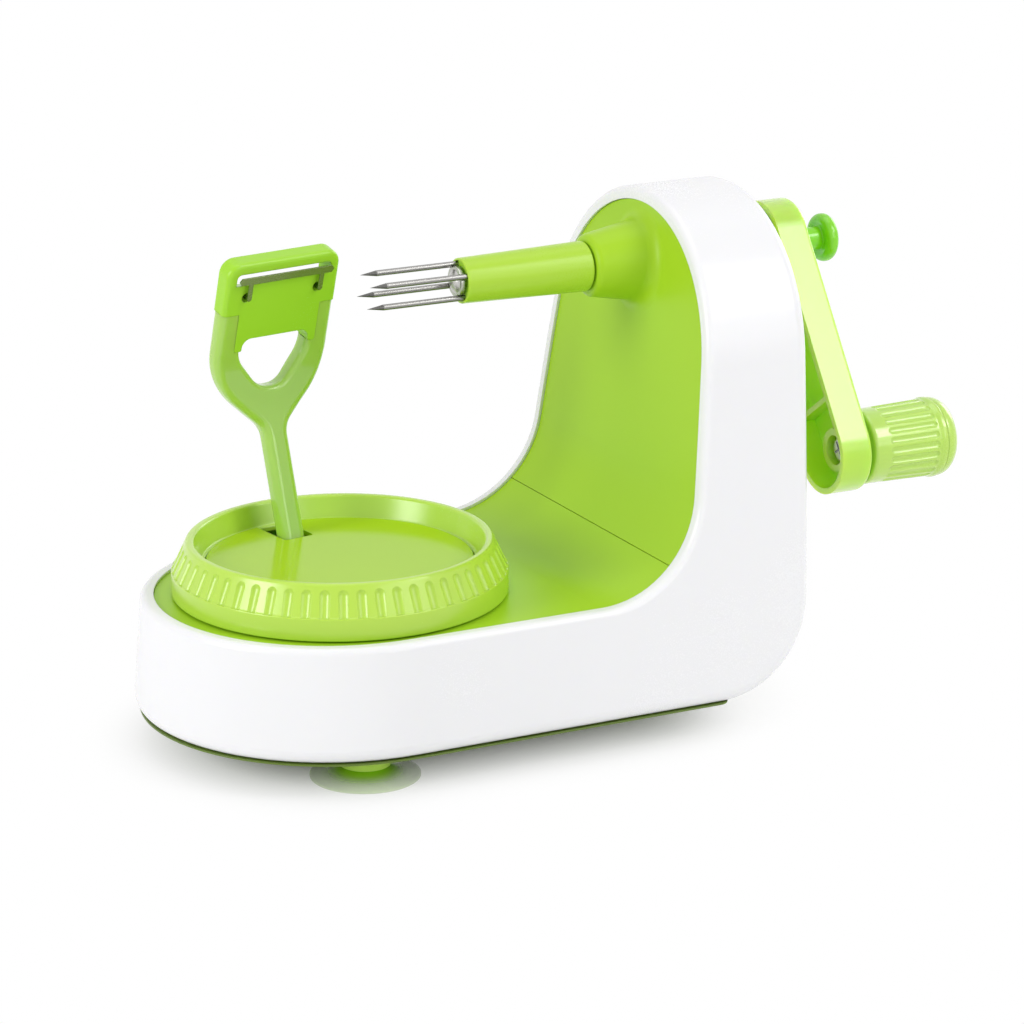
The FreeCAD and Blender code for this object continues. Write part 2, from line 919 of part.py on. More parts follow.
def make_shell():
    """White shell: walls, back, heel, ledges of the covers and the two shaft seats."""
    below = -FAR / 20
    walls = shell_outside()
    walls = walls.cut(body(wall, side_region(cover_t + ledge_t, wall, open_bottom=True), below))
    seat = body(rim_w, side_region(0.0, rim_w, open_front=True, open_bottom=True), below)
    walls = walls.cut(seat.cut(across(side_region(cover_t, -FAR / 10, open_bottom=True))))
    mouth_w = rim_w + ledge_w
    mouth = body(mouth_w, side_region(0.0, mouth_w, open_front=True, open_bottom=True), below)
    walls = walls.cut(mouth)
    shelf_z = level(foot_shelf_h)
    reach = cross_shaft_r + shelf_margin
    shelf = block(
        (cross_shaft_x - reach, cross_shaft_x + heel_r),
        (cross_shaft_y - reach, cross_shaft_y + reach),
        (shelf_z, shelf_z + foot_shelf_t),
    )
    shelf = shelf.common(body(wall / 2, side_region(0.0, wall / 2), shell_bottom_z))
    seat_end = back_face_x(axis_z) + rear_boss_out
    seat_start = back_face_x(axis_z, wall) - rear_boss_in
    boss = lathe_x([
        (seat_start, 0, 0),
        (seat_start, rear_boss_r, 0.6),
        (seat_end, rear_boss_r, 0.8),
        (seat_end, 0, 0),
    ])
    shell = fused([walls, shelf, boss])
    shell = shell.cut(shaft_piece(bush_r, seat_start - 1, seat_end + 1))
    foot = upright(
        cross_shaft_r + running_gap,
        shelf_z + foot_shelf_t / 4,
        shelf_z + foot_shelf_t + 1,
        cross_shaft_x,
        cross_shaft_y,
    )
    return shell.cut(foot)


def on_boss_root(box):
    """Edge where the fork's boss meets the column cover."""
    middle = (box.ZMin + box.ZMax) / 2
    round_axis = abs(middle - axis_z) < boss_base_r / 4
    wide = abs(box.YMax - box.YMin - 2 * boss_base_r) < boss_base_r / 4
    outside = box.XMax < column_face_x(axis_z) + cover_t and box.XMin > boss_front_x + 3
    return round_axis and wide and outside


def make_column_cover():
    """Upper green cover with the flared boss of the fork and two shelves for the vertical shaft."""
    panel = cover_band().common(seam_side(below=False))
    boss_end = column_face_x(axis_z) + cover_t
    boss = lathe_x([
        (boss_front_x, 0, 0),
        (boss_front_x, boss_front_r, boss_edge_r),
        (boss_end, boss_base_r, 0),
        (boss_end + boss_wall, boss_base_r, 0),
        (boss_end + boss_wall, 0, 0),
    ])
    boss = boss.cut(across(side_region(cover_t, -FAR / 10)))
    cover = panel.fuse(boss).removeSplitter()
    cover = cover.makeFillet(boss_root_r, edges_where(cover, on_boss_root))
    upper = shelf_at(upper_shelf_h, shelf_t)
    lower = shelf_at(lower_shelf_h, shelf_t)
    cover = fused([cover, upper, lower])
    cover = cover.cut(shaft_piece(bush_r, front_bush_x, boss_end + boss_wall))
    cover = cover.cut(shaft_piece(boss_mouth_r, boss_front_x - 1, front_bush_x + 1))
    shaft_hole = upright(
        cross_shaft_r + running_gap,
        level(lower_shelf_h) - 1,
        level(upper_shelf_h) + shelf_t + 1,
        cross_shaft_x,
        cross_shaft_y,
    )
    return cover.cut(shaft_hole)


def make_base_cover():
    """Lower green cover with the turntable's opening and four screw posts."""
    cover = cover_band().common(seam_side(below=True))
    cover = cover.cut(upright(table_hub_r + disc_gap, shell_bottom_z, panel_z + 1))
    post_low = plate_top_z + screw_boss_h
    pieces = [cover]
    for x, y in base_post_points:
        pieces.append(upright(base_post_r, post_low, panel_z - cover_t / 2, x, y))
    cover = fused(pieces)
    for x, y in base_post_points:
        cover = cover.cut(upright(base_screw_r, post_low - 1, post_low + base_screw_len, x, y))
    return cover


def plate_outline(inset_r, rear_x, z_start, z_end, corner_r):
    """Flat shape of the base: a round front and straight sides, at a half width."""
    return prism_z([
        (front_centre_x - inset_r, inset_r, inset_r),
        (front_centre_x - inset_r, -inset_r, inset_r),
        (rear_x, -inset_r, corner_r),
        (rear_x, inset_r, corner_r),
    ], z_start, z_end)


def make_plate():
    """Bottom plate: flange under the walls, lip inside them, posts, and necks for the cups."""
    lip_top = plate_top_z + plate_lip_h
    flange_r = base_half_w - plate_edge_inset
    inner_r = half_width(lip_top, wall) - plate_fit_gap
    inner_x = heel_centre_x - plate_fit_gap
    flange = plate_outline(
        flange_r, heel_centre_x + plate_heel_overlap, plate_bottom_z, shell_bottom_z, back_round
    )
    inner = plate_outline(inner_r, inner_x, plate_bottom_z, lip_top, wall)
    well = plate_outline(
        inner_r - plate_lip_t, inner_x - plate_lip_t, plate_top_z, lip_top + 1, wall / 2
    )
    idler = idler_place()
    post_top = level(post_top_h)
    pieces = [flange, inner.cut(well)]
    pieces.append(upright(post_r, plate_bottom_z, post_top, idler.x, idler.y))
    pieces.append(upright(table_hub_low_r, plate_bottom_z, post_top))
    neck_low = cup_dome_h
    for name, x, y in cup_places:
        pieces.append(upright(neck_r, neck_low, plate_bottom_z + plate_t / 2, x, y))
    for x, y in base_post_points:
        pieces.append(upright(screw_boss_r, plate_bottom_z, plate_top_z + screw_boss_h, x, y))
    plate = fused(pieces)
    plate = plate.cut(upright(idler_pin_r, post_top - pin_depth, post_top + 1, idler.x, idler.y))
    plate = plate.cut(upright(table_pin_r, post_top - pin_depth, post_top + 1))
    for name, x, y in cup_places:
        plate = plate.cut(upright(cup_stem_r, neck_low - 1, plate_top_z + 1, x, y))
    seat_z = plate_bottom_z + base_screw_head_h + screw_gap
    for x, y in base_post_points:
        plate = plate.cut(upright(base_screw_r + screw_gap / 2, plate_bottom_z, FAR / 10, x, y))
        plate = plate.cut(upright(base_screw_head_r + screw_gap, plate_bottom_z - 1, seat_z, x, y))
    return plate


def make_cup(x, y):
    """Suction cup with a stem through the neck and a barb on top of the plate."""
    return lathe_z([
        (0, cup_hollow_h, 0),
        (cup_hub_r, cup_hollow_h, cup_hollow_h),
        (cup_lip_r - cup_flat_w, 0, 0),
        (cup_lip_r, 0, 0.2),
        (cup_lip_r, cup_lip_t, 0.2),
        (cup_hub_r + cup_dome_h, cup_dome_h * 0.75, cup_dome_h),
        (cup_hub_r, cup_dome_h, 0.4),
        (cup_stem_r, cup_dome_h, 0),
        (cup_stem_r, plate_top_z, 0),
        (cup_barb_r, plate_top_z, 0.3),
        (cup_barb_tip_r, plate_top_z + cup_barb_h, 0.3),
        (0, plate_top_z + cup_barb_h, 0),
    ], x, y)


def make_base_screws():
    """Four screws that hold the plate to the base cover."""
    one = screw(base_screw_r, base_screw_len, base_screw_head_r, base_screw_head_h)
    one.rotate(V(0, 0, 0), X_AXIS, 180)
    seat_z = plate_bottom_z + base_screw_head_h + screw_gap
    screws = []
    for x, y in base_post_points:
        copy = one.copy()
        copy.translate(V(x, y, seat_z))
        screws.append(copy)
    return Part.makeCompound(screws)


def make_bush(x_start, length):
    """Plain bush of the main shaft."""
    outside = shaft_piece(bush_r, x_start, x_start + length)
    return outside.cut(shaft_piece(shaft_r + running_gap, x_start - 1, x_start + length + 1))


# Base drive pieces

def make_vertical_shaft():
    """Steel shaft from the foot shelf to above the upper shelf."""
    low = level(foot_shelf_h) + foot_shelf_t / 4 + end_gap / 2
    high = level(upper_shelf_h) + shelf_t + 1
    return upright(cross_shaft_r, low, high, cross_shaft_x, cross_shaft_y)


def make_worm_wheel():
    """Helical wheel at the top of the vertical shaft, with a long hub on the lower shelf."""
    half_twist = degrees(worm_wheel_w / 2 * worm_slope() / worm_wheel_r)
    first = -90.0 + 180.0 / worm_wheel_teeth
    ends = []
    for side in (-1, 1):
        ends.append(gear_wire(
            worm_module, worm_wheel_teeth, worm_backlash,
            first + side * half_twist, axis_z + side * worm_wheel_w / 2,
        ))
    wheel = Part.makeLoft(ends, True, True)
    hub_low = level(lower_shelf_h) + shelf_t + wheel_end_gap
    wheel = wheel.fuse(upright(wheel_hub_r, hub_low, axis_z))
    wheel = wheel.cut(upright(cross_shaft_r, hub_low - 1, axis_z + worm_wheel_w))
    wheel.translate(V(cross_shaft_x, cross_shaft_y, 0))
    return wheel


def make_pinion():
    """Pinion at the foot of the vertical shaft."""
    low = level(gear_h) - pinion_extra_w
    high = level(gear_h) + gear_w + pinion_extra_w
    foot = level(foot_shelf_h) + foot_shelf_t + end_gap
    pinion = spur_gear(gear_module, pinion_teeth, base_gear_phases()[2], low, high)
    pinion = pinion.fuse(upright(pinion_hub_r, foot, high + pinion_hub_h))
    pinion = pinion.cut(upright(cross_shaft_r, foot - 1, high + pinion_hub_h + 1))
    pinion.translate(V(cross_shaft_x, cross_shaft_y, 0))
    return pinion


def make_idler():
    """Large idler between the pinion and the turntable gear."""
    low = level(post_top_h) + washer_t + end_gap
    gear = webbed_gear(idler_teeth, base_gear_phases()[1], idler_hub_r, low, level(idler_hub_h))
    gear = gear.cut(upright(idler_pin_r + running_gap, low - 1, level(idler_hub_h) + 1))
    gear.translate(idler_place())
    return gear


def make_idler_pin():
    """Fixed pin of the idler, with a groove for its ring."""
    place = idler_place()
    groove_low = level(idler_hub_h) + end_gap
    pin = upright(
        idler_pin_r, level(post_top_h) - pin_depth, groove_low + ring_t + pin_end_h, place.x, place.y
    )
    band = upright(idler_pin_r + 1, groove_low, groove_low + ring_t, place.x, place.y)
    core = upright(idler_pin_r - ring_groove_depth, groove_low, groove_low + ring_t, place.x, place.y)
    return pin.cut(band.cut(core))


def make_idler_ring():
    """Open ring that keeps the idler on its pin."""
    low = level(idler_hub_h) + end_gap
    ring = upright(ring_r, low, low + ring_t).cut(
        upright(idler_pin_r - ring_groove_depth, low - 1, low + ring_t + 1)
    )
    ring = ring.cut(block((0, ring_r + 1), (-ring_slot_w / 2, ring_slot_w / 2), (low - 1, low + 2)))
    ring.translate(idler_place())
    return ring


def make_thrust_washer(outer_r, pin_radius, place):
    """Washer between a plate post and the gear above it."""
    low = level(post_top_h)
    washer = upright(outer_r, low, low + washer_t).cut(
        upright(pin_radius + running_gap, low - 1, low + washer_t + 1)
    )
    washer.translate(place)
    return washer


# Turntable

def table_pin_top():
    """Height of the top of the turntable's pin."""
    return level(table_step_h) + end_gap


def make_table_pin():
    """Fixed pin of the turntable with a hole for its screw."""
    pin = upright(table_pin_r, level(post_top_h) - pin_depth, table_pin_top())
    return pin.cut(upright(screw_r, table_pin_top() - table_screw_len, table_pin_top() + 1))


def make_table_washer():
    """Washer that keeps the turntable on its pin."""
    low = table_pin_top()
    outside = upright(table_washer_r, low, low + washer_t)
    return outside.cut(upright(screw_r + screw_gap / 2, low - 1, low + washer_t + 1))


def make_table_screw():
    """Screw into the turntable's pin."""
    shape = screw(screw_r, table_screw_len, screw_head_r, screw_head_h)
    shape.translate(V(0, 0, table_pin_top() + washer_t))
    return shape


def dish_floor_z():
    """Underside of the dish's floor, on top of the turntable gear's hub."""
    return panel_z + dish_floor_gap


def make_table_gear():
    """Turntable gear with the tall hub that carries the dish."""
    low = level(post_top_h) + washer_t + end_gap
    top = dish_floor_z()
    gear = webbed_gear(table_gear_teeth, base_gear_phases()[0], table_hub_low_r, low, level(gear_h) + 1)
    gear = fused([gear, upright(table_hub_r, level(gear_h), top)])
    gear = gear.cut(upright(table_pin_r + running_gap, low - 1, top))
    gear = gear.cut(upright(table_step_r, level(table_step_h), top + 1))
    hole = upright(dish_screw_r, top - dish_screw_len, top + 1, dish_screw_circle_r)
    for cutter in spread(hole, dish_screw_count, V(0, 0, 0), Z_AXIS, arm_turn):
        gear = gear.cut(cutter)
    return gear


def dish_side_x(z):
    """Radius of the dish's grooved side at a height."""
    low = panel_z + skirt_gap + skirt_band_h
    high = level(rim_top_h)
    return skirt_r - (skirt_r - rim_r) * (z - low) / (high - low)


def groove_cutter():
    """Cutter of one groove of the dish's side, with a round top."""
    low = panel_z + skirt_gap + skirt_band_h
    high = level(rim_top_h) - groove_top_gap - groove_w / 2
    cut_r = (groove_w ** 2 / 4 + groove_depth ** 2) / (2 * groove_depth)
    out = cut_r - groove_depth
    start = V(dish_side_x(low) + out, 0, low)
    end = V(dish_side_x(high) + out, 0, high)
    way = end - start
    bar = cylinder(cut_r, start, way.Length, way)
    return bar.fuse(Part.makeSphere(cut_r, end)).common(block((0, FAR), (-FAR, FAR), (low, FAR)))


def make_dish():
    """Turntable dish: grooved side, rim, ledge of the disc, floor and the lugs of the arm."""
    floor = dish_floor_z()
    floor_top = floor + dish_floor_t
    low = panel_z + skirt_gap
    band_top = low + skirt_band_h
    rim_top = level(rim_top_h)
    ledge = level(tray_floor_h)
    under = ledge - tray_ledge_t
    dish = lathe_z([
        (dish_hole_r, floor, 0),
        (skirt_r - skirt_wall, floor, 0),
        (skirt_r - skirt_wall, low, 0),
        (skirt_r, low, 0.5),
        (skirt_r, band_top, 0.6),
        (dish_side_x(band_top) - 0.5, band_top + 0.3, 0),
        (rim_r, rim_top, rim_edge_r),
        (rim_inner_r, rim_top, rim_edge_r),
        (tray_ledge_r, ledge, 0.6),
        (tray_hole_r, ledge, 0.3),
        (tray_hole_r, under, 0),
        (dish_side_x(under) - skirt_wall, under, 0),
        (skirt_r - skirt_wall, band_top, 0),
        (skirt_r - skirt_wall, floor_top, 0),
        (dish_hole_r, floor_top, 0),
    ])
    lug_top = level(arm_pivot_h) + lug_top_t
    lugs = []
    for side in (-1, 1):
        ends = sorted((side * lug_inner, side * (lug_inner + lug_t)))
        lugs.append(prism_x([
            (arm_pivot_r - lug_half_w, floor, 0),
            (arm_pivot_r + lug_half_w, floor, 0),
            (arm_pivot_r + lug_half_w, lug_top, lug_half_w * 0.7),
            (arm_pivot_r - lug_half_w, lug_top, lug_half_w * 0.7),
        ], ends[0], ends[1]))
    dish = fused([dish] + lugs)
    dish = dish.cut(arm_pin_shape())
    hole = upright(dish_screw_r + screw_gap / 2, floor - 1, floor_top + 1, dish_screw_circle_r)
    dish = dish.cut(Part.makeCompound(spread(hole, dish_screw_count, V(0, 0, 0), Z_AXIS)))
    grooves = spread(groove_cutter(), groove_count, V(0, 0, 0), Z_AXIS)
    dish = dish.cut(Part.makeCompound(grooves))
    return with_table(dish)


def with_table(shape):
    """Shape made on the +Y side, turned to where the turntable stands."""
    return turned(shape, V(0, 0, 0), Z_AXIS, arm_turn)


def make_disc():
    """Disc of the tray with the arm's slot and a skirt that stands on the dish's floor."""
    top = level(tray_floor_h) + disc_proud
    low = dish_floor_z() + dish_floor_t
    disc = lathe_z([
        (0, top - disc_t, 0),
        (disc_skirt_r - disc_skirt_t, top - disc_t, 0),
        (disc_skirt_r - disc_skirt_t, low, 0),
        (disc_skirt_r, low, 0),
        (disc_skirt_r, top - disc_t, 0),
        (tray_hole_r - disc_gap, top - disc_t, 0),
        (tray_hole_r - disc_gap, top, 0.4),
        (0, top, 0),
    ])
    slot = prism_z([
        (-disc_slot_left, disc_slot_in_r, 1.0),
        (disc_slot_right, disc_slot_in_r, 1.0),
        (disc_slot_right, FAR, 0),
        (-disc_slot_left, FAR, 0),
    ], low - 1, top + 1)
    return with_table(disc.cut(slot))


def make_dish_screws():
    """Three screws that hold the dish to the turntable gear."""
    one = screw(dish_screw_r, dish_screw_len - 1, dish_screw_head_r, dish_screw_head_h)
    one.translate(V(dish_screw_circle_r, 0, dish_floor_z() + dish_floor_t))
    return Part.makeCompound(spread(one, dish_screw_count, V(0, 0, 0), Z_AXIS, arm_turn))


def arm_pin_shape():
    """Pin of the peeler arm, in the lugs of the dish."""
    half = lug_inner + lug_t
    return shaft_piece(arm_pin_r, -half, half, arm_pivot_r, level(arm_pivot_h))


# Peeler arm

def leaning(angle):
    """Unit vector in (y, z) that leans outwards from upright by an angle in degrees."""
    return V(sin(radians(angle)), cos(radians(angle)), 0)


def arm_corner():
    """Point in (y, z) where the stem's line meets the head's line."""
    start = V(arm_pivot_r, level(arm_pivot_h), 0)
    stem = leaning(arm_lean)
    head = leaning(-head_lean)
    to_head = V(head_ref_r, level(head_ref_h), 0) - start
    cross = stem.x * head.y - stem.y * head.x
    length = (to_head.x * head.y - to_head.y * head.x) / cross
    return start + stem * length


def arm_band():
    """Arm seen from the side: an even band along the stem, round the bend and up the head."""
    stem = leaning(arm_lean)
    head = leaning(-head_lean)
    start = V(arm_pivot_r, level(arm_pivot_h), 0) + stem * foot_rise
    corner = arm_corner()
    end = V(head_ref_r, level(head_ref_h), 0) + head * head_top
    stem_out = V(stem.y, -stem.x, 0)
    head_out = V(head.y, -head.x, 0)
    bisector = (stem_out + head_out).normalize()
    reach = arm_half_t / bisector.dot(stem_out)
    points = [
        (start - stem_out * arm_half_t, 0),
        (corner - bisector * reach, arm_bend_r - arm_half_t),
        (end - head_out * arm_half_t, 0),
        (end + head_out * arm_half_t, 0),
        (corner + bisector * reach, arm_bend_r + arm_half_t),
        (start + stem_out * arm_half_t, 0),
    ]
    side = yoke_half_w + 1
    return prism_x([(point.x, point.y, radius) for point, radius in points], -side, side)


def both_sides(corners):
    """Closed outline that is the same on both sides, from the corners of its right side."""
    left = [(-x, y, radius) for x, y, radius in reversed(corners)]
    return list(corners) + left


def in_head(shape):
    """Shape of the head's own frame, put in place: X across, Y outwards, Z up the face."""
    copy = turned(shape, V(0, 0, 0), X_AXIS, head_lean)
    copy.translate(V(0, head_ref_r, level(head_ref_h)))
    return copy


def head_outline():
    """Right side of the head's outline, from its foot to its top."""
    return [
        (tongue_leg_in, tongue_bottom, tongue_corner_r),
        (tongue_leg_in, tongue_leg_bottom, 0.6),
        (tongue_half_w, tongue_leg_bottom, 0.6),
        (tongue_half_w, head_step, 0),
        (head_half_w, head_step, 0),
        (head_half_w, head_top, head_corner_r),
    ]


def on_yoke_edge(box):
    """Long edges of the arm, on its sides."""
    wide = box.YMax - box.YMin > 4 * stem_half_w
    return box.ZMax - box.ZMin > 2 * yoke_edge_r and not wide


def on_window_edge(box):
    """Edges of the window on the two faces of the arm."""
    inside = box.XMin > -tongue_leg_in - 0.1 and box.XMax < tongue_leg_in + 0.1
    above_foot = box.ZMin > level(head_ref_h - window_below_head) - 0.1
    across_arm = box.ZMax - box.ZMin < 0.01 and box.XMax - box.XMin < 0.01
    return inside and above_foot and not across_arm


def on_head_edge(box):
    """Edges round the faces of the head, above its step."""
    flat = box.YMax - box.YMin < 0.01
    low_step = box.ZMax - box.ZMin < 0.01 and box.ZMax < 0
    return flat and box.ZMin > head_step - 0.01 and not low_step


def make_arm():
    """Milky green arm: foot, stem and fork of the head with its window."""
    foot_z = level(arm_pivot_h)
    outline = both_sides([
        (stem_half_w, foot_z, 0),
        (stem_half_w, level(head_ref_h - neck_below_head), neck_r_inside),
        (yoke_half_w, level(head_ref_h - yoke_corner_below_head), yoke_corner_r),
        (yoke_half_w, level(head_ref_h), 0),
    ])
    window = both_sides([
        (window_foot_half_w, level(head_ref_h - window_below_head), window_r),
        (tongue_leg_in, level(head_ref_h - window_side_below_head), window_side_r),
        (tongue_leg_in, level(head_ref_h), 0),
    ])
    arm = prism_y(outline, 0, FAR).common(arm_band())
    arm = arm.makeFillet(yoke_edge_r, edges_where(arm, on_yoke_edge))
    arm = arm.cut(prism_y(window, 0, FAR))
    arm = arm.makeFillet(window_edge_r, edges_where(arm, on_window_edge))
    seat = prism_y(both_sides([
        (tongue_half_w, tongue_leg_bottom, 0.6),
        (tongue_half_w, head_step, 0),
        (yoke_half_w + 2, head_step, 0),
        (yoke_half_w + 2, head_top * 2, 0),
    ]), -FAR / 20, FAR / 20)
    arm = arm.cut(in_head(seat))
    hub_low = -lug_inner + foot_side_gap
    hub = shaft_piece(foot_hub_r, hub_low, stem_half_w, arm_pivot_r, foot_z)
    arm = fused([arm, hub])
    bore = shaft_piece(arm_pin_r + running_gap, hub_low - 1, FAR, arm_pivot_r, foot_z)
    return with_table(arm.cut(bore))


def make_head():
    """Green head held by the arm's fork, with the slot behind the blade and the pivot holes."""
    head = prism_y(both_sides(head_outline()), -head_half_t, head_half_t)
    head = head.makeFillet(head_edge_r, edges_where(head, on_head_edge))
    slot = prism_y(both_sides([
        (peel_slot_half_w, peel_slot_back_low, peel_slot_corner_r),
        (peel_slot_half_w, peel_slot_high, peel_slot_corner_r),
    ]), -FAR, FAR)
    ramp = prism_x([
        (-head_half_t, peel_slot_low, 0),
        (head_half_t, peel_slot_back_low, 0),
        (head_half_t + 1, peel_slot_back_low, 0),
        (head_half_t + 1, peel_slot_high + 1, 0),
        (-head_half_t - 1, peel_slot_high + 1, 0),
        (-head_half_t - 1, peel_slot_low, 0),
    ], -FAR, FAR)
    head = head.cut(slot.common(ramp))
    for side in (-1, 1):
        start = V(side * ear_hole_x, -head_half_t - 1, 0)
        head = head.cut(cylinder(ear_hole_r, start, ear_hole_depth + 1, Y_AXIS))
    return with_table(in_head(head))


def make_blade():
    """Steel blade in front of the head, with two ears and their pins."""
    front = -head_half_t - blade_gap - blade_t
    ear_out = ear_hole_x + ear_half_w
    ear_in = ear_hole_x - ear_half_w
    point_x = blade_half_len - blade_point_len
    strip = prism_y(both_sides([
        (ear_in, blade_low, 0),
        (ear_in, -ear_drop, 0.5),
        (ear_out, -ear_drop, 0.5),
        (ear_out, blade_low, 0),
        (point_x, blade_low, 0),
        (blade_half_len, (blade_low + blade_high) / 2, 0.4),
        (point_x, blade_high, 0),
    ]), front, front + blade_t)
    pieces = [strip]
    for side in (-1, 1):
        start = V(side * ear_hole_x, front + blade_t / 2, 0)
        length = blade_t / 2 + blade_gap + ear_pin_len
        pieces.append(cylinder(ear_pin_r, start, length, Y_AXIS))
    return with_table(in_head(fused(pieces)))


def make_arm_spring():
    """Torsion spring on the arm's pin, with one leg on the dish's floor."""
    spring = coil(arm_spring_r, arm_spring_wire_r, arm_spring_pitch, arm_spring_turns)
    spring = turned(spring, V(0, 0, 0), V(1, 1, 1), 120)
    start_x = stem_half_w + arm_spring_wire_r + 2 * foot_side_gap
    spring.translate(V(start_x, arm_pivot_r, level(arm_pivot_h)))
    return with_table(spring)


# Fork and ejector

def make_tube():
    """Green tube of the fork, fixed on the front of the main shaft."""
    end = boss_front_x - tube_rear_gap
    return lathe_x([
        (tube_front_x, tube_bore_r, 0),
        (tube_front_x, tube_front_r, 0.35),
        (end, tube_rear_r, 0.6),
        (end, shaft_r, 0),
        (tube_bore_end_x, shaft_r, 0),
        (tube_bore_end_x, tube_bore_r, 0),
    ])


def pin_channels(radius, x_start, x_end):
    """Cutters for the fork's pins, open to the outside."""
    channel = shaft_piece(radius, x_start, x_end, pin_circle_r)
    outer = block((x_start, x_end), (pin_circle_r, tube_rear_r), (axis_z - radius, axis_z + radius))
    return spread(channel.fuse(outer), pin_count, axis_point(), X_AXIS, pin_first_angle)


def make_holder():
    """Plug in the tube's mouth that holds the pins and guides the ejector's rod."""
    start = tube_front_x + holder_setback
    holder = shaft_piece(tube_bore_r, start, bore_front_x)
    holder = holder.cut(shaft_piece(rod_r + rod_gap, start - 1, bore_front_x + 1))
    return holder.cut(Part.makeCompound(pin_channels(pin_r, start - 1, bore_front_x + 1)))


def make_fork_pins():
    """Four pointed steel pins."""
    pin = lathe_x([
        (pin_tip_x, 0, 0),
        (pin_tip_x + pin_cone_len, pin_r, 0),
        (bore_front_x, pin_r, 0),
        (bore_front_x, 0, 0),
    ], pin_circle_r)
    return Part.makeCompound(spread(pin, pin_count, axis_point(), X_AXIS, pin_first_angle))


def make_rod():
    """Ejector rod through the main shaft, with the collar that its spring pushes."""
    end = knob_inner_x() + knob_t / 2
    rod = shaft_piece(rod_r, ejector_front_x + ejector_dome_h, end)
    collar = shaft_piece(rod_collar_r, tube_bore_end_x - rod_collar_len, tube_bore_end_x)
    return fused([rod, collar])


def make_ejector_head():
    """Small domed plate between the pins, in front of the tube."""
    plate_x = ejector_front_x + ejector_dome_h
    end = plate_x + ejector_plate_t
    dome_r = (ejector_plate_r ** 2 * 0.6 + ejector_dome_h ** 2) / (2 * ejector_dome_h)
    dome = Part.makeSphere(dome_r, axis_point(ejector_front_x + dome_r))
    dome = dome.common(shaft_piece(ejector_plate_r, ejector_front_x, plate_x))
    head = fused([shaft_piece(ejector_plate_r, plate_x, end), dome])
    head = head.cut(shaft_piece(rod_r, plate_x, end + 1))
    notches = pin_channels(pin_r + ejector_notch_gap, ejector_front_x - 1, end + 1)
    return head.cut(Part.makeCompound(notches))


def knob_inner_x():
    """x of the knob's inner face."""
    return crank_outer_x + ejector_travel + knob_gap


def make_knob():
    """Push knob of the ejector with its neck."""
    inner = knob_inner_x()
    outer = inner + knob_t
    start = crank_outer_x - knob_neck_in
    return lathe_x([
        (start, rod_r, 0),
        (start, knob_neck_r, 0.3),
        (inner + knob_dish_depth, knob_neck_r, 0.4),
        (inner, knob_r, knob_edge_r),
        (outer, knob_r, knob_edge_r),
        (outer, 0, 0),
        (inner + knob_t / 2, 0, 0),
        (inner + knob_t / 2, rod_r, 0),
    ])


def make_ejector_spring():
    """Spring between the pin holder and the rod's collar."""
    free = tube_bore_end_x - rod_collar_len - bore_front_x - 2 * spring_wire_r - 2 * spring_seat_gap
    spring = coil(spring_coil_r, spring_wire_r, free / spring_turns, spring_turns)
    spring = turned(spring, V(0, 0, 0), V(1, 1, 1), 120)
    spring.translate(axis_point(bore_front_x + spring_wire_r + spring_seat_gap))
    return spring


# Main shaft

def well_x():
    """x of the bottom of the knob's well in the crank's hub."""
    return crank_outer_x - knob_neck_in - ejector_travel - knob_slot_gap


def make_main_shaft():
    """Hollow steel shaft from the fork's tube to the crank's hub."""
    shaft = shaft_piece(shaft_r, tube_bore_end_x, well_x())
    return shaft.cut(shaft_piece(rod_r + rod_gap, tube_bore_end_x - 1, well_x() + 1))


def worm_slope():
    """Tangent of the worm's lead angle."""
    return worm_module * worm_starts / (2 * worm_pitch_r)


def make_worm():
    """Right-handed worm with two starts, fixed on the main shaft."""
    lead = pi * worm_module * worm_starts
    tip_r = worm_pitch_r + worm_module
    root_r = worm_pitch_r - 1.25 * worm_module
    core_r = root_r - 0.25
    rise = tan(radians(pressure_angle))
    at_pitch = (pi * worm_module - worm_backlash) / 4
    half_tip = at_pitch - (tip_r - worm_pitch_r) * rise
    half_core = at_pitch + (worm_pitch_r - core_r) * rise
    turns = 2
    low = -turns * lead
    helix = Part.makeHelix(lead, 2 * turns * lead, worm_pitch_r)
    helix.translate(V(0, 0, low))
    profile = Part.makePolygon([
        V(core_r, 0, low - half_core),
        V(tip_r, 0, low - half_tip),
        V(tip_r, 0, low + half_tip),
        V(core_r, 0, low + half_core),
        V(core_r, 0, low - half_core),
    ])
    thread = Part.Wire(helix.Edges).makePipeShell([profile], True, True)
    half = worm_len / 2
    window = upright(tip_r + 1, -half, half)
    worm = upright(root_r, -half, half)
    for start in spread(thread, worm_starts, V(0, 0, 0), Z_AXIS):
        worm = worm.fuse(start.common(window))
    worm = worm.cut(upright(shaft_r, -half - 1, half + 1))
    worm = turned(worm, V(0, 0, 0), V(1, 1, 1), 120)
    worm.translate(axis_point(cross_shaft_x))
    return worm


def make_shaft_collar():
    """Collar behind the worm."""
    start = cross_shaft_x + worm_len / 2
    collar = shaft_piece(shaft_collar_r, start, start + shaft_collar_len)
    return collar.cut(shaft_piece(shaft_r, start - 1, start + shaft_collar_len + 1))


# Crank and grip

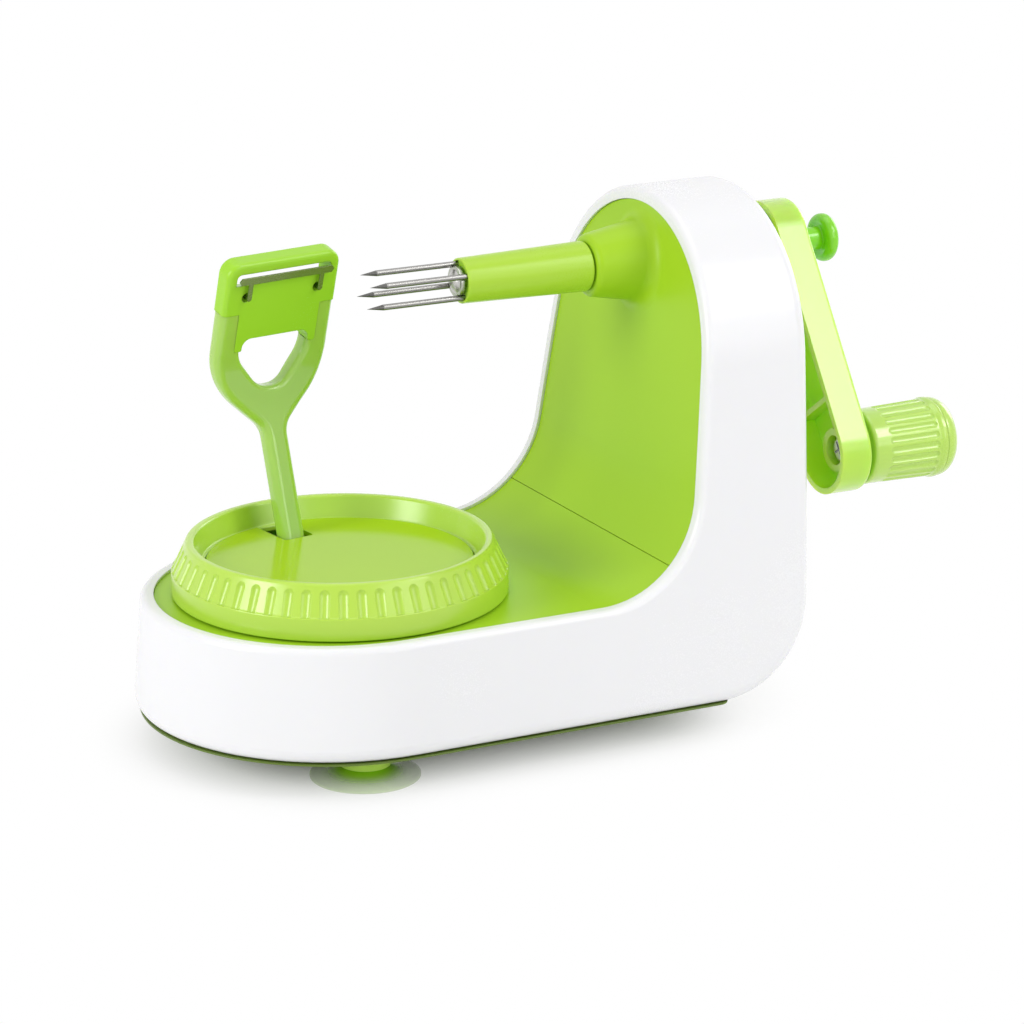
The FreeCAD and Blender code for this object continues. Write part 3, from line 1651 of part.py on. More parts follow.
def link_prism(first_r, second_r, x_start, x_end):
    """Prism along X of the outline round two circles: the hub and the lower end of the crank."""
    drop = (first_r - second_r) / crank_len
    side = V(sqrt(1 - drop ** 2), -drop, 0)
    far = V(0, -crank_len, 0)
    mirrored = V(-side.x, side.y, 0)
    right_top = side * first_r
    left_top = mirrored * first_r
    right_low = far + side * second_r
    left_low = far + mirrored * second_r
    wire = Part.Wire([
        Part.Arc(right_top, V(0, first_r, 0), left_top).toShape(),
        Part.LineSegment(left_top, left_low).toShape(),
        Part.Arc(left_low, far - V(0, second_r, 0), right_low).toShape(),
        Part.LineSegment(right_low, right_top).toShape(),
    ])
    face = Part.Face(wire)
    face.rotate(V(0, 0, 0), V(1, 1, 1), 120)
    face.translate(V(x_start, 0, axis_z))
    return face.extrude(V(x_end - x_start, 0, 0))


def turned_crank(shape):
    """Shape made with the crank straight down, turned to where the crank stands."""
    return turned(shape, axis_point(), X_AXIS, -crank_turn)


def grip_screw_seat_x():
    """x of the crank's web, where the grip's screw sits."""
    return crank_outer_x - crank_web_t


def make_crank():
    """Crank arm: an open channel with the hub at its top and the grip's boss at its end."""
    web_x = crank_outer_x - crank_web_t
    outer = link_prism(crank_hub_r, crank_end_r, crank_inner_x, crank_outer_x)
    rim = [edge for edge in outer.Edges if edge.BoundBox.XMin > crank_outer_x - 0.01]
    outer = outer.makeFillet(crank_edge_r, rim)
    inner = link_prism(crank_hub_r - crank_wall, crank_end_r - crank_wall, crank_inner_x - 1, web_x)
    end_z = axis_z - crank_len
    hub_start = back_face_x(axis_z) + rear_boss_out + hub_boss_gap
    hub = lathe_x([
        (hub_start, 0, 0),
        (hub_start, hub_boss_r, 0.6),
        (web_x + 1, hub_boss_r, 0),
        (web_x + 1, 0, 0),
    ])
    boss_x = crank_inner_x + grip_boss_setback
    boss = shaft_piece(grip_boss_r, boss_x, web_x + 1, 0, end_z)
    pieces = [outer.cut(inner), hub, boss]
    half_w = crank_end_r - crank_wall / 2
    for place in crank_rib_places:
        rib_z = axis_z - place
        rib_range = (rib_z - crank_rib_t / 2, rib_z + crank_rib_t / 2)
        rib_start = crank_inner_x + crank_rib_setback
        pieces.append(block((rib_start, web_x + 1), (-half_w, half_w), rib_range))
    crank = fused(pieces)
    crank = crank.cut(shaft_piece(shaft_r, hub_start - 1, well_x()))
    crank = crank.cut(shaft_piece(knob_neck_r + knob_slot_gap, well_x(), crank_outer_x + 1))
    seat_x = grip_screw_seat_x()
    crank = crank.cut(shaft_piece(grip_screw_head_r + screw_gap, boss_x - 1, seat_x, 0, end_z))
    crank = crank.cut(shaft_piece(screw_r + screw_gap / 2, seat_x - 1, crank_outer_x + 1, 0, end_z))
    crank = crank.cut(set_screw_bar(shaft_r / 2))
    return turned_crank(crank)


def set_screw_bar(low_r):
    """Cylinder of the set screw, from a radius to outside the crank's hub, opposite the arm."""
    x = (back_face_x(axis_z) + rear_boss_out + hub_boss_gap + crank_inner_x) / 2
    return upright(set_screw_r, axis_z + low_r, axis_z + hub_boss_r + 1, x)


def make_set_screw():
    """Headless screw that fixes the crank on the main shaft."""
    bar = set_screw_bar(shaft_r)
    return turned_crank(bar.common(upright(FAR, axis_z, axis_z + shaft_r + set_screw_len)))


def make_grip_core():
    """Axle of the grip with the flange on the crank and the snap ring at its end."""
    end_z = axis_z - crank_len
    flange_end = crank_outer_x + grip_flange_t
    snap_start = grip_hollow_x() + grip_snap_gap
    snap_end = snap_start + grip_snap_w
    core = lathe_x([
        (crank_outer_x, 0, 0),
        (crank_outer_x, grip_flange_r, 0),
        (flange_end, grip_flange_r, 0.4),
        (flange_end, grip_core_r, 0),
        (snap_start, grip_core_r, 0),
        (snap_start, grip_snap_r, 0.2),
        (snap_end, grip_core_r, 0),
        (snap_end, 0, 0),
    ], 0, end_z)
    hole_end = grip_screw_seat_x() + grip_screw_len
    core = core.cut(shaft_piece(screw_r, crank_outer_x - 1, hole_end, 0, end_z))
    return turned_crank(core)


def make_grip_screw():
    """Screw from the crank's open side into the grip's axle."""
    shape = screw(screw_r, grip_screw_len, grip_screw_head_r, screw_head_h)
    shape = turned(shape, V(0, 0, 0), Y_AXIS, -90)
    shape.translate(V(grip_screw_seat_x(), 0, axis_z - crank_len))
    return turned_crank(shape)


def grip_start_x():
    """x of the grip's end next to the crank."""
    return crank_outer_x + grip_start_gap


def sleeve_end_x():
    """x of the end of the grip's sleeve, where its cap starts."""
    return grip_end_x - grip_cap_len


def grip_hollow_x():
    """x where the sleeve's bore opens into the hollow under the cap."""
    return sleeve_end_x() - grip_cap_spigot_len - grip_hollow_len


def grip_radius(x):
    """Outer radius of the grip between its ends."""
    start = grip_start_x()
    return grip_start_r + (grip_end_r - grip_start_r) * (x - start) / (sleeve_end_x() - start)


def flute_cutter():
    """Cutter of one flute of the grip, with round ends."""
    x_start = grip_start_x() + grip_flute_start
    x_end = sleeve_end_x() - grip_bead_w - grip_flute_r
    out = grip_flute_r - grip_flute_depth
    start = V(x_start, 0, grip_radius(x_start) + out)
    end = V(x_end, 0, grip_radius(x_end) + out)
    way = end - start
    bar = cylinder(grip_flute_r, start, way.Length, way)
    bar = bar.multiFuse([Part.makeSphere(grip_flute_r, start), Part.makeSphere(grip_flute_r, end)])
    bar.translate(V(0, 0, axis_z - crank_len))
    return bar


def make_sleeve():
    """Turning grip: tapered and fluted, with a bead before the cap."""
    end_z = axis_z - crank_len
    start = grip_start_x()
    end = sleeve_end_x()
    bead_x = end - grip_bead_w
    bore_r = grip_core_r + running_gap
    sleeve = lathe_x([
        (start, bore_r, 0.3),
        (start, grip_start_r, 1.2),
        (bead_x, grip_radius(bead_x), 0.8),
        (bead_x + grip_bead_w / 2, grip_bead_r, 1.2),
        (end, grip_bead_r, grip_seam_r),
        (end, grip_hollow_r, 0),
        (grip_hollow_x(), grip_hollow_r, 0),
        (grip_hollow_x(), bore_r, 0),
    ], 0, end_z)
    flutes = spread(flute_cutter(), grip_flute_count, V(0, 0, end_z), X_AXIS)
    return turned_crank(sleeve.cut(Part.makeCompound(flutes)))


def make_cap():
    """Rounded cap on the end of the grip, with a spigot in the sleeve."""
    seam = sleeve_end_x()
    cap = lathe_x([
        (seam - grip_cap_spigot_len, 0, 0),
        (seam - grip_cap_spigot_len, grip_hollow_r, 0.4),
        (seam, grip_hollow_r, 0),
        (seam, grip_cap_r, grip_seam_r),
        (grip_end_x, grip_cap_r, grip_cap_edge_r),
        (grip_end_x, 0, 0),
    ], 0, axis_z - crank_len)
    return turned_crank(cap)


# Pieces in the housing's frame are moved so that the origin is under the middle of the whole

def save(shape, name):
    """Write one piece, with the origin under the middle of the peeler."""
    moved = shape.copy()
    moved.translate(V(-origin_x, 0, 0))
    moved.exportStep("parts/" + name + ".step")


os.makedirs("parts", exist_ok=True)

save(make_shell(), "housing_shell")
save(make_column_cover(), "column_cover")
save(make_base_cover(), "base_cover")
save(make_plate(), "bottom_plate")
for side_name, cup_x, cup_y in cup_places:
    save(make_cup(cup_x, cup_y), "suction_cup_" + side_name)
save(make_base_screws(), "base_screws")
save(make_bush(front_bush_x, front_bush_len), "front_bush")
rear_bush_start = back_face_x(axis_z, wall) - rear_boss_in
save(make_bush(rear_bush_start, back_face_x(axis_z) + rear_boss_out - rear_bush_start), "rear_bush")

save(make_table_pin(), "turntable_pin")
save(make_thrust_washer(table_hub_low_r, table_pin_r, V(0, 0, 0)), "turntable_thrust_washer")
save(make_table_washer(), "turntable_washer")
save(make_table_screw(), "turntable_screw")
save(make_table_gear(), "turntable_gear")
save(make_dish(), "turntable_dish")
save(make_disc(), "turntable_disc")
save(make_dish_screws(), "dish_screws")
save(with_table(arm_pin_shape()), "arm_pin")

save(make_arm(), "peeler_arm")
save(make_head(), "peeler_head")
save(make_arm_spring(), "arm_spring")
save(make_blade(), "peeling_blade")

save(make_idler_pin(), "idler_pin")
save(make_thrust_washer(idler_hub_r, idler_pin_r, idler_place()), "idler_thrust_washer")
save(make_idler_ring(), "idler_retaining_ring")
save(make_idler(), "idler_gear")
save(make_vertical_shaft(), "vertical_shaft")
save(make_worm_wheel(), "worm_wheel")
save(make_pinion(), "shaft_pinion")

save(make_main_shaft(), "main_shaft")
save(make_worm(), "worm")
save(make_shaft_collar(), "shaft_collar")
save(make_tube(), "fork_tube")
save(make_holder(), "pin_holder")
save(make_fork_pins(), "fork_pins")
save(make_rod(), "ejector_rod")
save(make_ejector_head(), "ejector_head")
save(make_knob(), "ejector_knob")
save(make_ejector_spring(), "ejector_spring")

save(make_crank(), "crank_arm")
save(make_set_screw(), "set_screw")
save(make_grip_core(), "grip_core")
save(make_grip_screw(), "grip_screw")
save(make_sleeve(), "grip_sleeve")
save(make_cap(), "grip_cap")
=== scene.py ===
from math import cos, pi, radians, sin

import bmesh
import bpy
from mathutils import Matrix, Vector


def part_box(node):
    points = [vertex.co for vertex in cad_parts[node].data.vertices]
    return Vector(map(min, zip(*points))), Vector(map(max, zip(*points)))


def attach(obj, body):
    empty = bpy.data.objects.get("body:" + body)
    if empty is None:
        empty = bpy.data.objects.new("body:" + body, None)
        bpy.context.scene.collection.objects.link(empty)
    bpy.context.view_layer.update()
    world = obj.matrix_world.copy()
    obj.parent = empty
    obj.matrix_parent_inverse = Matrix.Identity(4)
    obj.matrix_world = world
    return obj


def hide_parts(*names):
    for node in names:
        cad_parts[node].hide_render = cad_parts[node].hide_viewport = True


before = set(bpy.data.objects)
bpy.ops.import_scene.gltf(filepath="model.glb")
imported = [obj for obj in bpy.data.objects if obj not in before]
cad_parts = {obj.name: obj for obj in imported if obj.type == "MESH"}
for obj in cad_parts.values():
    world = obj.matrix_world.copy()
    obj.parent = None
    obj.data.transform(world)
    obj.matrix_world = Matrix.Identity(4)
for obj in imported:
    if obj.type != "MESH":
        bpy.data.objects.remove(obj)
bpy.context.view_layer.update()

# Looks of a hand cranked apple peeler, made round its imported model. Metres, +Z up.
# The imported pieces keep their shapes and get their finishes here.
# The soft suction cups are made again with thin, slightly wavy lips.

bl_info = {
    "name": "Apple peeler looks",
    "version": (1, 0, 0),
    "blender": (4, 5, 0),
    "location": "View3D > Sidebar > Peeler",
    "description": "Finishes, suction cups and studio of a hand cranked apple peeler",
    "category": "Object",
}

MM = 0.001
CUP_NODES = ("suction_cup_left", "suction_cup_right", "suction_cup_rear")

# Length of the pins' darker tips, and how far under the shell's edge the brighter tint of the
# cups' necks begins, painted light on necks that sit in shade
DARK_TIP_LEN = 0.0052
PAINTED_LIGHT_BELOW_SHELL = 0.0009

# Outputs of the shader groups for plastic and for metal
SURFACE_OUTPUTS = [
    ("Colour", "NodeSocketColor"),
    ("Roughness", "NodeSocketFloat"),
    ("Height", "NodeSocketFloat"),
]

# Noise textures swing round this value
NOISE_MEAN = 0.5

# Slow drift of tone in plastic, and how far grain and drift change its roughness
DRIFT_SCALE = 14.0
GRAIN_ON_ROUGHNESS = 0.05
DRIFT_ON_ROUGHNESS = 0.10

# Stains on steel, and what its marks and stains change
STAIN_SCALE = 90.0
MARK_HEIGHT = 0.000002
MARKS_ON_ROUGHNESS = 0.12
STAINS_ON_ROUGHNESS = 0.20
MARKS_ON_TONE = 0.14

# Refraction of hard and of soft plastic, and how far each colour scatters in it
PLASTIC_IOR = 1.49
VINYL_IOR = 1.42
SCATTER_COLOURS = (0.8, 1.0, 0.35)

# Edges of metal are this many times sharper than those of plastic
METAL_SHARPER = 3

# Directions of the marks on steel: a small share stretches them along that axis
ALONG_X = (0.06, 1.0, 1.0)
ALONG_Z = (1.0, 1.0, 0.06)
EVEN = (1.0, 1.0, 1.0)

# Suction cups: radius of the hub and of the stem, as shares of the lip's
CUP_HUB_SHARE = 0.30
CUP_STEM_SHARE = 0.24

# Height of a cup's dome, the power of its curve, and the steps of the mesh along and round it
CUP_DOME = 0.0036
CUP_CURVE = 1.7
CUP_STEPS = 14
CUP_SEGMENTS = 72

# Past this share of the way to the lip, the inner face stays this far above the table
LIP_SHARE = 0.9
LIP_LIFT = 0.00002

# Stem of a cup: shares of its radius at the top and at the foot, and the heights of both tapers
STEM_TOP_SHARE = 0.85
STEM_FOOT_SHARE = 1.15
STEM_CHAMFER = 0.0003
STEM_FOOT = 0.0004

# Inner face under the hub: a point at this share of its radius, and how many walls' thickness
# it and the middle lie below the dome
CROWN_SHARE = 0.5
CROWN_WALLS = 1.5
CROWN_MIDDLE_WALLS = 1.6

# Heights between which a cup is waved, and the scale of its waves
WAVE_FROM_Z = 0.0003
WAVE_TO_Z = 0.0030
WAVE_SCALE = 90.0

# Heights between which a cup's tint deepens and brightens towards the hub, the brightening being
# painted light on hubs in the shadow under the housing; its opacity at the lip, and what the hub
# adds to it
TINT_FROM_Z = 0.0006
TINT_TO_Z = 0.0026
LIP_ALPHA = 0.26
HUB_ALPHA_GAIN = 0.68

# Floor: how far it goes each way, its grey and its finish, and where it fades to white, from
# inside the shell's side to beyond it
FLOOR_REACH = 6.0
FLOOR_GREY = 0.93
FLOOR_ROUGHNESS = 0.6
FLOOR_GLOSS = 0.1
FADE_UNDER_SHELL = 0.039
FADE_PAST_SHELL = 0.018

# Point that the lamps face, and each lamp's name, place and size; the name is also that of the
# setting with its watts
LAMP_TARGET = (0.0, 0.0, 0.07)
LAMPS = (
    ("key", (0.40, -1.15, 0.60), (0.70, 0.70)),
    ("top", (0.05, 0.15, 1.15), (0.90, 0.70)),
    ("side", (0.62, -0.71, 0.92), (0.34, 0.55)),
    ("rim", (1.0, 0.35, 0.45), (0.50, 0.50)),
    ("end", (-1.15, -0.10, 0.50), (0.45, 0.50)),
)


# Settings that a user would change

def colour(label, text, value):
    """Colour setting with a plain label."""
    return bpy.props.FloatVectorProperty(
        name=label, description=text, subtype="COLOR", size=3, min=0.0, max=1.0, default=value
    )


def length(label, text, value):
    """Length setting in metres."""
    return bpy.props.FloatProperty(
        name=label, description=text, subtype="DISTANCE", unit="LENGTH", default=value
    )


def share(label, text, value):
    """Setting from zero to one."""
    return bpy.props.FloatProperty(
        name=label, description=text, subtype="FACTOR", min=0.0, max=1.0, default=value
    )


def watts(label, text, value):
    """Strength of a lamp in watts."""
    return bpy.props.FloatProperty(
        name=label, description=text, unit="POWER", min=0.0, default=value
    )


class PeelerColours(bpy.types.PropertyGroup):
    """Colours of the peeler's plastics and metals."""

    shell: colour("Shell", "White of the housing", (0.86, 0.86, 0.875))
    panel: colour("Panels", "Green of the housing's covers", (0.385, 0.64, 0.022))
    turntable: colour("Turntable", "Green of the grooved dish", (0.47, 0.71, 0.06))
    tray: colour("Tray", "Green of the disc in the dish", (0.41, 0.65, 0.008))
    crank: colour("Crank", "Vivid green of the crank", (0.46, 0.80, 0.04))
    grip: colour("Grip", "Paler green of the crank's grip", (0.47, 0.72, 0.09))
    head: colour("Peeler head", "Deeper green of the peeler's head", (0.36, 0.69, 0.03))
    knob: colour("Knob", "Saturated green of the ejector's knob", (0.24, 0.70, 0.012))
    arm: colour("Peeler arm", "Milky green of the arm", (0.38, 0.62, 0.085))
    fork: colour("Fork tube", "Green of the fork's tube", (0.43, 0.68, 0.045))
    # The plate's green is darkened, painted shade that lets its edge under the shell read as part
    # of the shadow; the necks over the cups belong to the same plate and get a brighter green,
    # painted light on necks that sit in shade.
    plate_with_painted_shade: colour("Bottom plate", "Green of the plate under the housing", (0.13, 0.20, 0.03))
    neck_with_painted_light: colour("Cup necks", "Bright green of the necks over the cups", (0.62, 0.95, 0.12))
    cup: colour("Suction cups", "Tint of the clear cups", (0.48, 0.72, 0.14))
    # The hubs' tint is more saturated, as thick vinyl is, and also brighter, painted light on hubs
    # that sit in the shadow under the housing.
    cup_hub_with_painted_light: colour("Cup hubs", "Deeper tint of the cups' thick middles", (0.45, 0.85, 0.015))
    steel: colour("Steel", "Pins and shafts", (0.27, 0.265, 0.255))
    # The pins' steel is darker towards their points.
    tips: colour("Ground tips", "Darker steel of the pins' ground tips", (0.13, 0.128, 0.122))
    # The blade's steel is darkened and tinted green, a painted reflection of the green head round
    # it.
    blade: colour("Blade", "Blade with the green of its head in it", (0.30, 0.32, 0.20))
    dome: colour("Ejector dome", "Pale polished dome in the fork's mouth", (0.55, 0.54, 0.52))
    screws: colour("Screws", "Plated screws", (0.62, 0.62, 0.62))
    brass: colour("Brass", "Bushes, worm and collar", (0.72, 0.55, 0.26))
    gears: colour("Gears", "Natural plastic of the gears", (0.78, 0.77, 0.72))


class PeelerSizes(bpy.types.PropertyGroup):
    """Sizes of the surface detail and of the suction cups."""

    waviness: length("Waviness", "Width of the soft waves of moulded plastic", 0.011)
    wave_height: length("Wave height", "Height of the soft waves of moulded plastic", 0.00003)
    grain: length("Grain", "Width of the fine grain of moulded plastic", 0.0004)
    grain_height: length("Grain height", "Height of the fine grain of moulded plastic", 0.0000006)
    edge: length("Edge rounding", "Radius that a moulded edge seems to have", 0.00045)
    cup_wall: length("Cup wall", "Thickness of a suction cup's dome", 0.0011)
    cup_lip: length("Cup lip", "Thickness of a suction cup's lip", 0.00045)
    cup_wave: length("Cup wave", "Height of the waves of a suction cup's lip", 0.00015)
    cup_wave_height: length("Cup surface waves", "Height of the waves on a cup's surface", 0.00004)
    cup_grain_height: length("Cup grain", "Height of the fine grain of a cup", 0.000001)
    brush: length("Brush marks", "Width of the marks on the steel", 0.00018)


class PeelerStage(bpy.types.PropertyGroup):
    """Camera and light of the studio."""

    azimuth: bpy.props.FloatProperty(
        name="Azimuth", description="Angle of the camera round the peeler",
        subtype="ANGLE", unit="ROTATION", default=radians(-27.04),
    )
    elevation: bpy.props.FloatProperty(
        name="Elevation", description="Angle of the camera above the table",
        subtype="ANGLE", unit="ROTATION", default=radians(17.05),
    )
    distance: length("Distance", "From the camera to the middle of the view", 1.1898)
    target_x: length("Target X", "Middle of the view, along the peeler", -0.0040)
    target_z: length("Target Z", "Middle of the view, above the table", 0.0601)
    lens: bpy.props.FloatProperty(
        name="Lens", description="Focal length in millimetres on a 36 mm sensor",
        subtype="DISTANCE_CAMERA", default=139.0,
    )
    sky: share("Surround", "Strength of the white room", 0.47)
    key: watts("Key lamp", "Watts of the large lamp at the front", 2.75)
    top: watts("Top lamp", "Watts of the lamp above", 2.3)
    side: watts("Side lamp", "Watts of the lamp at the right", 3.9)
    rim: watts("Rim lamp", "Watts of the lamp behind the crank", 2.0)
    end: watts("End lamp", "Watts of the lamp at the turntable's end", 6.2)


# Shader groups

def shader_group(name, inputs, outputs):
    """Empty shader group with its sockets; gives its tree, input node and output node."""
    tree = bpy.data.node_groups.new(name, "ShaderNodeTree")
    for label, kind, value in inputs:
        socket = tree.interface.new_socket(label, in_out="INPUT", socket_type=kind)
        if value is not None:
            socket.default_value = value
    for label, kind in outputs:
        tree.interface.new_socket(label, in_out="OUTPUT", socket_type=kind)
    return tree, tree.nodes.new("NodeGroupInput"), tree.nodes.new("NodeGroupOutput")


def math_node(tree, operation, first, second=None, third=None):
    """Math node whose inputs are sockets or numbers; gives its output."""
    node = tree.nodes.new("ShaderNodeMath")
    node.operation = operation
    for index, value in enumerate((first, second, third)):
        if value is None:
            continue
        if isinstance(value, (int, float)):
            node.inputs[index].default_value = value
        else:
            tree.links.new(value, node.inputs[index])
    return node.outputs[0]


def noise(tree, vector, scale, detail=2.0, roughness=0.5):
    """Noise texture on a vector; its scale is a socket or a number."""
    node = tree.nodes.new("ShaderNodeTexNoise")
    node.inputs["Detail"].default_value = detail
    node.inputs["Roughness"].default_value = roughness
    tree.links.new(vector, node.inputs["Vector"])
    if isinstance(scale, (int, float)):
        node.inputs["Scale"].default_value = scale
    else:
        tree.links.new(scale, node.inputs["Scale"])
    return node.outputs["Fac"]


def axes(tree, vector):
    """Outputs X, Y and Z of a vector."""
    node = tree.nodes.new("ShaderNodeSeparateXYZ")
    tree.links.new(vector, node.inputs["Vector"])
    return node.outputs


def smooth_rise(tree, value, start, end):
    """Mask that rises smoothly from zero to one as a value goes from start to end."""
    node = tree.nodes.new("ShaderNodeMapRange")
    node.interpolation_type = "SMOOTHSTEP"
    node.inputs["From Min"].default_value = start
    node.inputs["From Max"].default_value = end
    tree.links.new(value, node.inputs["Value"])
    return node.outputs["Result"]


def one_over(tree, width):
    """Scale of a texture whose features have a width."""
    return math_node(tree, "DIVIDE", 1.0, width)


def swing(tree, mask, reach, middle):
    """Value that swings round a middle as a noise mask swings round its mean."""
    off = math_node(tree, "SUBTRACT", mask, NOISE_MEAN)
    return math_node(tree, "MULTIPLY_ADD", off, reach, middle)


def tone_output(tree, given, made, tone):
    """Put the given colour out, made lighter or darker by a tone."""
    shade = tree.nodes.new("ShaderNodeHueSaturation")
    tree.links.new(tone, shade.inputs["Value"])
    tree.links.new(given.outputs["Colour"], shade.inputs["Color"])
    tree.links.new(shade.outputs["Color"], made.inputs["Colour"])


def moulded_group():
    """Moulded plastic: soft waves, fine grain, and a faint drift of tone."""
    tree, given, made = shader_group(
        "Moulded plastic",
        [
            ("Vector", "NodeSocketVector", None),
            ("Colour", "NodeSocketColor", (1, 1, 1, 1)),
            ("Wave Width", "NodeSocketFloat", 0.01),
            ("Grain Width", "NodeSocketFloat", 0.0006),
            ("Wave Height", "NodeSocketFloat", 0.00003),
            ("Grain Height", "NodeSocketFloat", 0.000003),
            ("Roughness", "NodeSocketFloat", 0.25),
            ("Tone Drift", "NodeSocketFloat", 0.04),
        ],
        SURFACE_OUTPUTS,
    )
    vector = given.outputs["Vector"]
    waves = noise(tree, vector, one_over(tree, given.outputs["Wave Width"]), detail=1.0)
    grain = noise(tree, vector, one_over(tree, given.outputs["Grain Width"]), detail=3.0)
    drift = noise(tree, vector, DRIFT_SCALE, detail=2.0)
    height = math_node(tree, "MULTIPLY", waves, given.outputs["Wave Height"])
    height = math_node(tree, "MULTIPLY_ADD", grain, given.outputs["Grain Height"], height)
    tree.links.new(height, made.inputs["Height"])
    uneven = swing(tree, grain, GRAIN_ON_ROUGHNESS, given.outputs["Roughness"])
    uneven = swing(tree, drift, DRIFT_ON_ROUGHNESS, uneven)
    tree.links.new(uneven, made.inputs["Roughness"])
    tone_output(tree, given, made, swing(tree, drift, given.outputs["Tone Drift"], 1.0))
    return tree


def soft_edge_group():
    """Rounded look of the hard edges."""
    tree, given, made = shader_group(
        "Soft edges",
        [("Radius", "NodeSocketFloat", 0.0004)],
        [("Normal", "NodeSocketVector")],
    )
    bevel = tree.nodes.new("ShaderNodeBevel")
    bevel.samples = 4
    tree.links.new(given.outputs["Radius"], bevel.inputs["Radius"])
    tree.links.new(bevel.outputs["Normal"], made.inputs["Normal"])
    return tree


def brushed_group():
    """Brushed metal: marks along one axis, as height, roughness and tone."""
    tree, given, made = shader_group(
        "Brushed metal",
        [
            ("Vector", "NodeSocketVector", None),
            ("Colour", "NodeSocketColor", (1, 1, 1, 1)),
            ("Stretch", "NodeSocketVector", (1, 1, 1)),
            ("Mark Width", "NodeSocketFloat", 0.0002),
            ("Roughness", "NodeSocketFloat", 0.3),
        ],
        SURFACE_OUTPUTS,
    )
    stretch = tree.nodes.new("ShaderNodeVectorMath")
    stretch.operation = "MULTIPLY"
    tree.links.new(given.outputs["Vector"], stretch.inputs[0])
    tree.links.new(given.outputs["Stretch"], stretch.inputs[1])
    vector = stretch.outputs["Vector"]
    scale = one_over(tree, given.outputs["Mark Width"])
    marks = noise(tree, vector, scale, detail=3.0, roughness=0.6)
    stains = noise(tree, given.outputs["Vector"], STAIN_SCALE, detail=3.0)
    height = math_node(tree, "MULTIPLY", marks, MARK_HEIGHT)
    tree.links.new(height, made.inputs["Height"])
    uneven = swing(tree, marks, MARKS_ON_ROUGHNESS, given.outputs["Roughness"])
    uneven = swing(tree, stains, STAINS_ON_ROUGHNESS, uneven)
    tree.links.new(uneven, made.inputs["Roughness"])
    tone_output(tree, given, made, swing(tree, marks, MARKS_ON_TONE, 1.0))
    return tree


def group(name, maker):
    """Shader group by name, made on its first use."""
    return bpy.data.node_groups.get(name) or maker()


# Materials

def new_material(name):
    """Empty node material; gives it, its tree and its principled shader."""
    material = bpy.data.materials.new(name)
    material.use_nodes = True
    tree = material.node_tree
    tree.nodes.clear()
    shader = tree.nodes.new("ShaderNodeBsdfPrincipled")
    output = tree.nodes.new("ShaderNodeOutputMaterial")
    tree.links.new(shader.outputs["BSDF"], output.inputs["Surface"])
    return material, tree, shader


def placed_group(tree, shared, **values):
    """Group node in a material with its own values."""
    node = tree.nodes.new("ShaderNodeGroup")
    node.node_tree = shared
    for label, value in values.items():
        node.inputs[label.replace("_", " ").title()].default_value = value
    return node


def object_coordinates(tree):
    """Object coordinates of the surface."""
    return tree.nodes.new("ShaderNodeTexCoord").outputs["Object"]


def surface_links(tree, shader, surface, edges=None):
    """Feed colour, roughness and height of a surface group to the shader, over soft edges."""
    bump = tree.nodes.new("ShaderNodeBump")
    bump.inputs["Strength"].default_value = 1.0
    bump.inputs["Distance"].default_value = 1.0
    tree.links.new(surface.outputs["Height"], bump.inputs["Height"])
    if edges:
        tree.links.new(edges.outputs["Normal"], bump.inputs["Normal"])
    tree.links.new(surface.outputs["Colour"], shader.inputs["Base Color"])
    tree.links.new(surface.outputs["Roughness"], shader.inputs["Roughness"])
    tree.links.new(bump.outputs["Normal"], shader.inputs["Normal"])


def blended(tree, mask, first, second):
    """Colour that goes from the first to the second tint as the mask goes from zero to one."""
    blend = tree.nodes.new("ShaderNodeMix")
    blend.data_type = "RGBA"
    blend.inputs["A"].default_value = (*first, 1.0)
    blend.inputs["B"].default_value = (*second, 1.0)
    tree.links.new(mask, blend.inputs["Factor"])
    return blend.outputs["Result"]


def two_colours(tree, place, axis, limit, before, after):
    """Colour that changes where a coordinate passes a limit."""
    mask = math_node(tree, "LESS_THAN", axes(tree, place)[axis], limit)
    return blended(tree, mask, after, before)


def plastic(name, tint, roughness, scatter, scatter_mm, drift=0.04, coat=0.0,
            coat_roughness=0.08, gloss=0.5, painted_light_tint=None, painted_light_below_z=None):
    """Moulded plastic with soft waves, fine grain and softened edges; below a given height a
    second tint, painted light on a part that sits in shade.
    """
    sizes = bpy.context.scene.peeler_sizes
    material, tree, shader = new_material(name)
    edges = placed_group(tree, group("Soft edges", soft_edge_group), radius=sizes.edge)
    surface = placed_group(
        tree, group("Moulded plastic", moulded_group),
        colour=(*tint, 1.0), wave_width=sizes.waviness, grain_width=sizes.grain,
        wave_height=sizes.wave_height, grain_height=sizes.grain_height,
        roughness=roughness, tone_drift=drift,
    )
    place = object_coordinates(tree)
    tree.links.new(place, surface.inputs["Vector"])
    # Painted light: below the given height the second, brighter tint stands in for light on a part
    # in shade.
    if painted_light_tint:
        tree.links.new(two_colours(tree, place, "Z", painted_light_below_z, painted_light_tint, tint),
                       surface.inputs["Colour"])
    surface_links(tree, shader, surface, edges)
    shader.inputs["IOR"].default_value = PLASTIC_IOR
    shader.inputs["Specular IOR Level"].default_value = gloss
    shader.inputs["Coat Weight"].default_value = coat
    shader.inputs["Coat Roughness"].default_value = coat_roughness
    shader.inputs["Subsurface Weight"].default_value = scatter
    shader.inputs["Subsurface Scale"].default_value = scatter_mm * MM
    shader.inputs["Subsurface Radius"].default_value = SCATTER_COLOURS
    return material


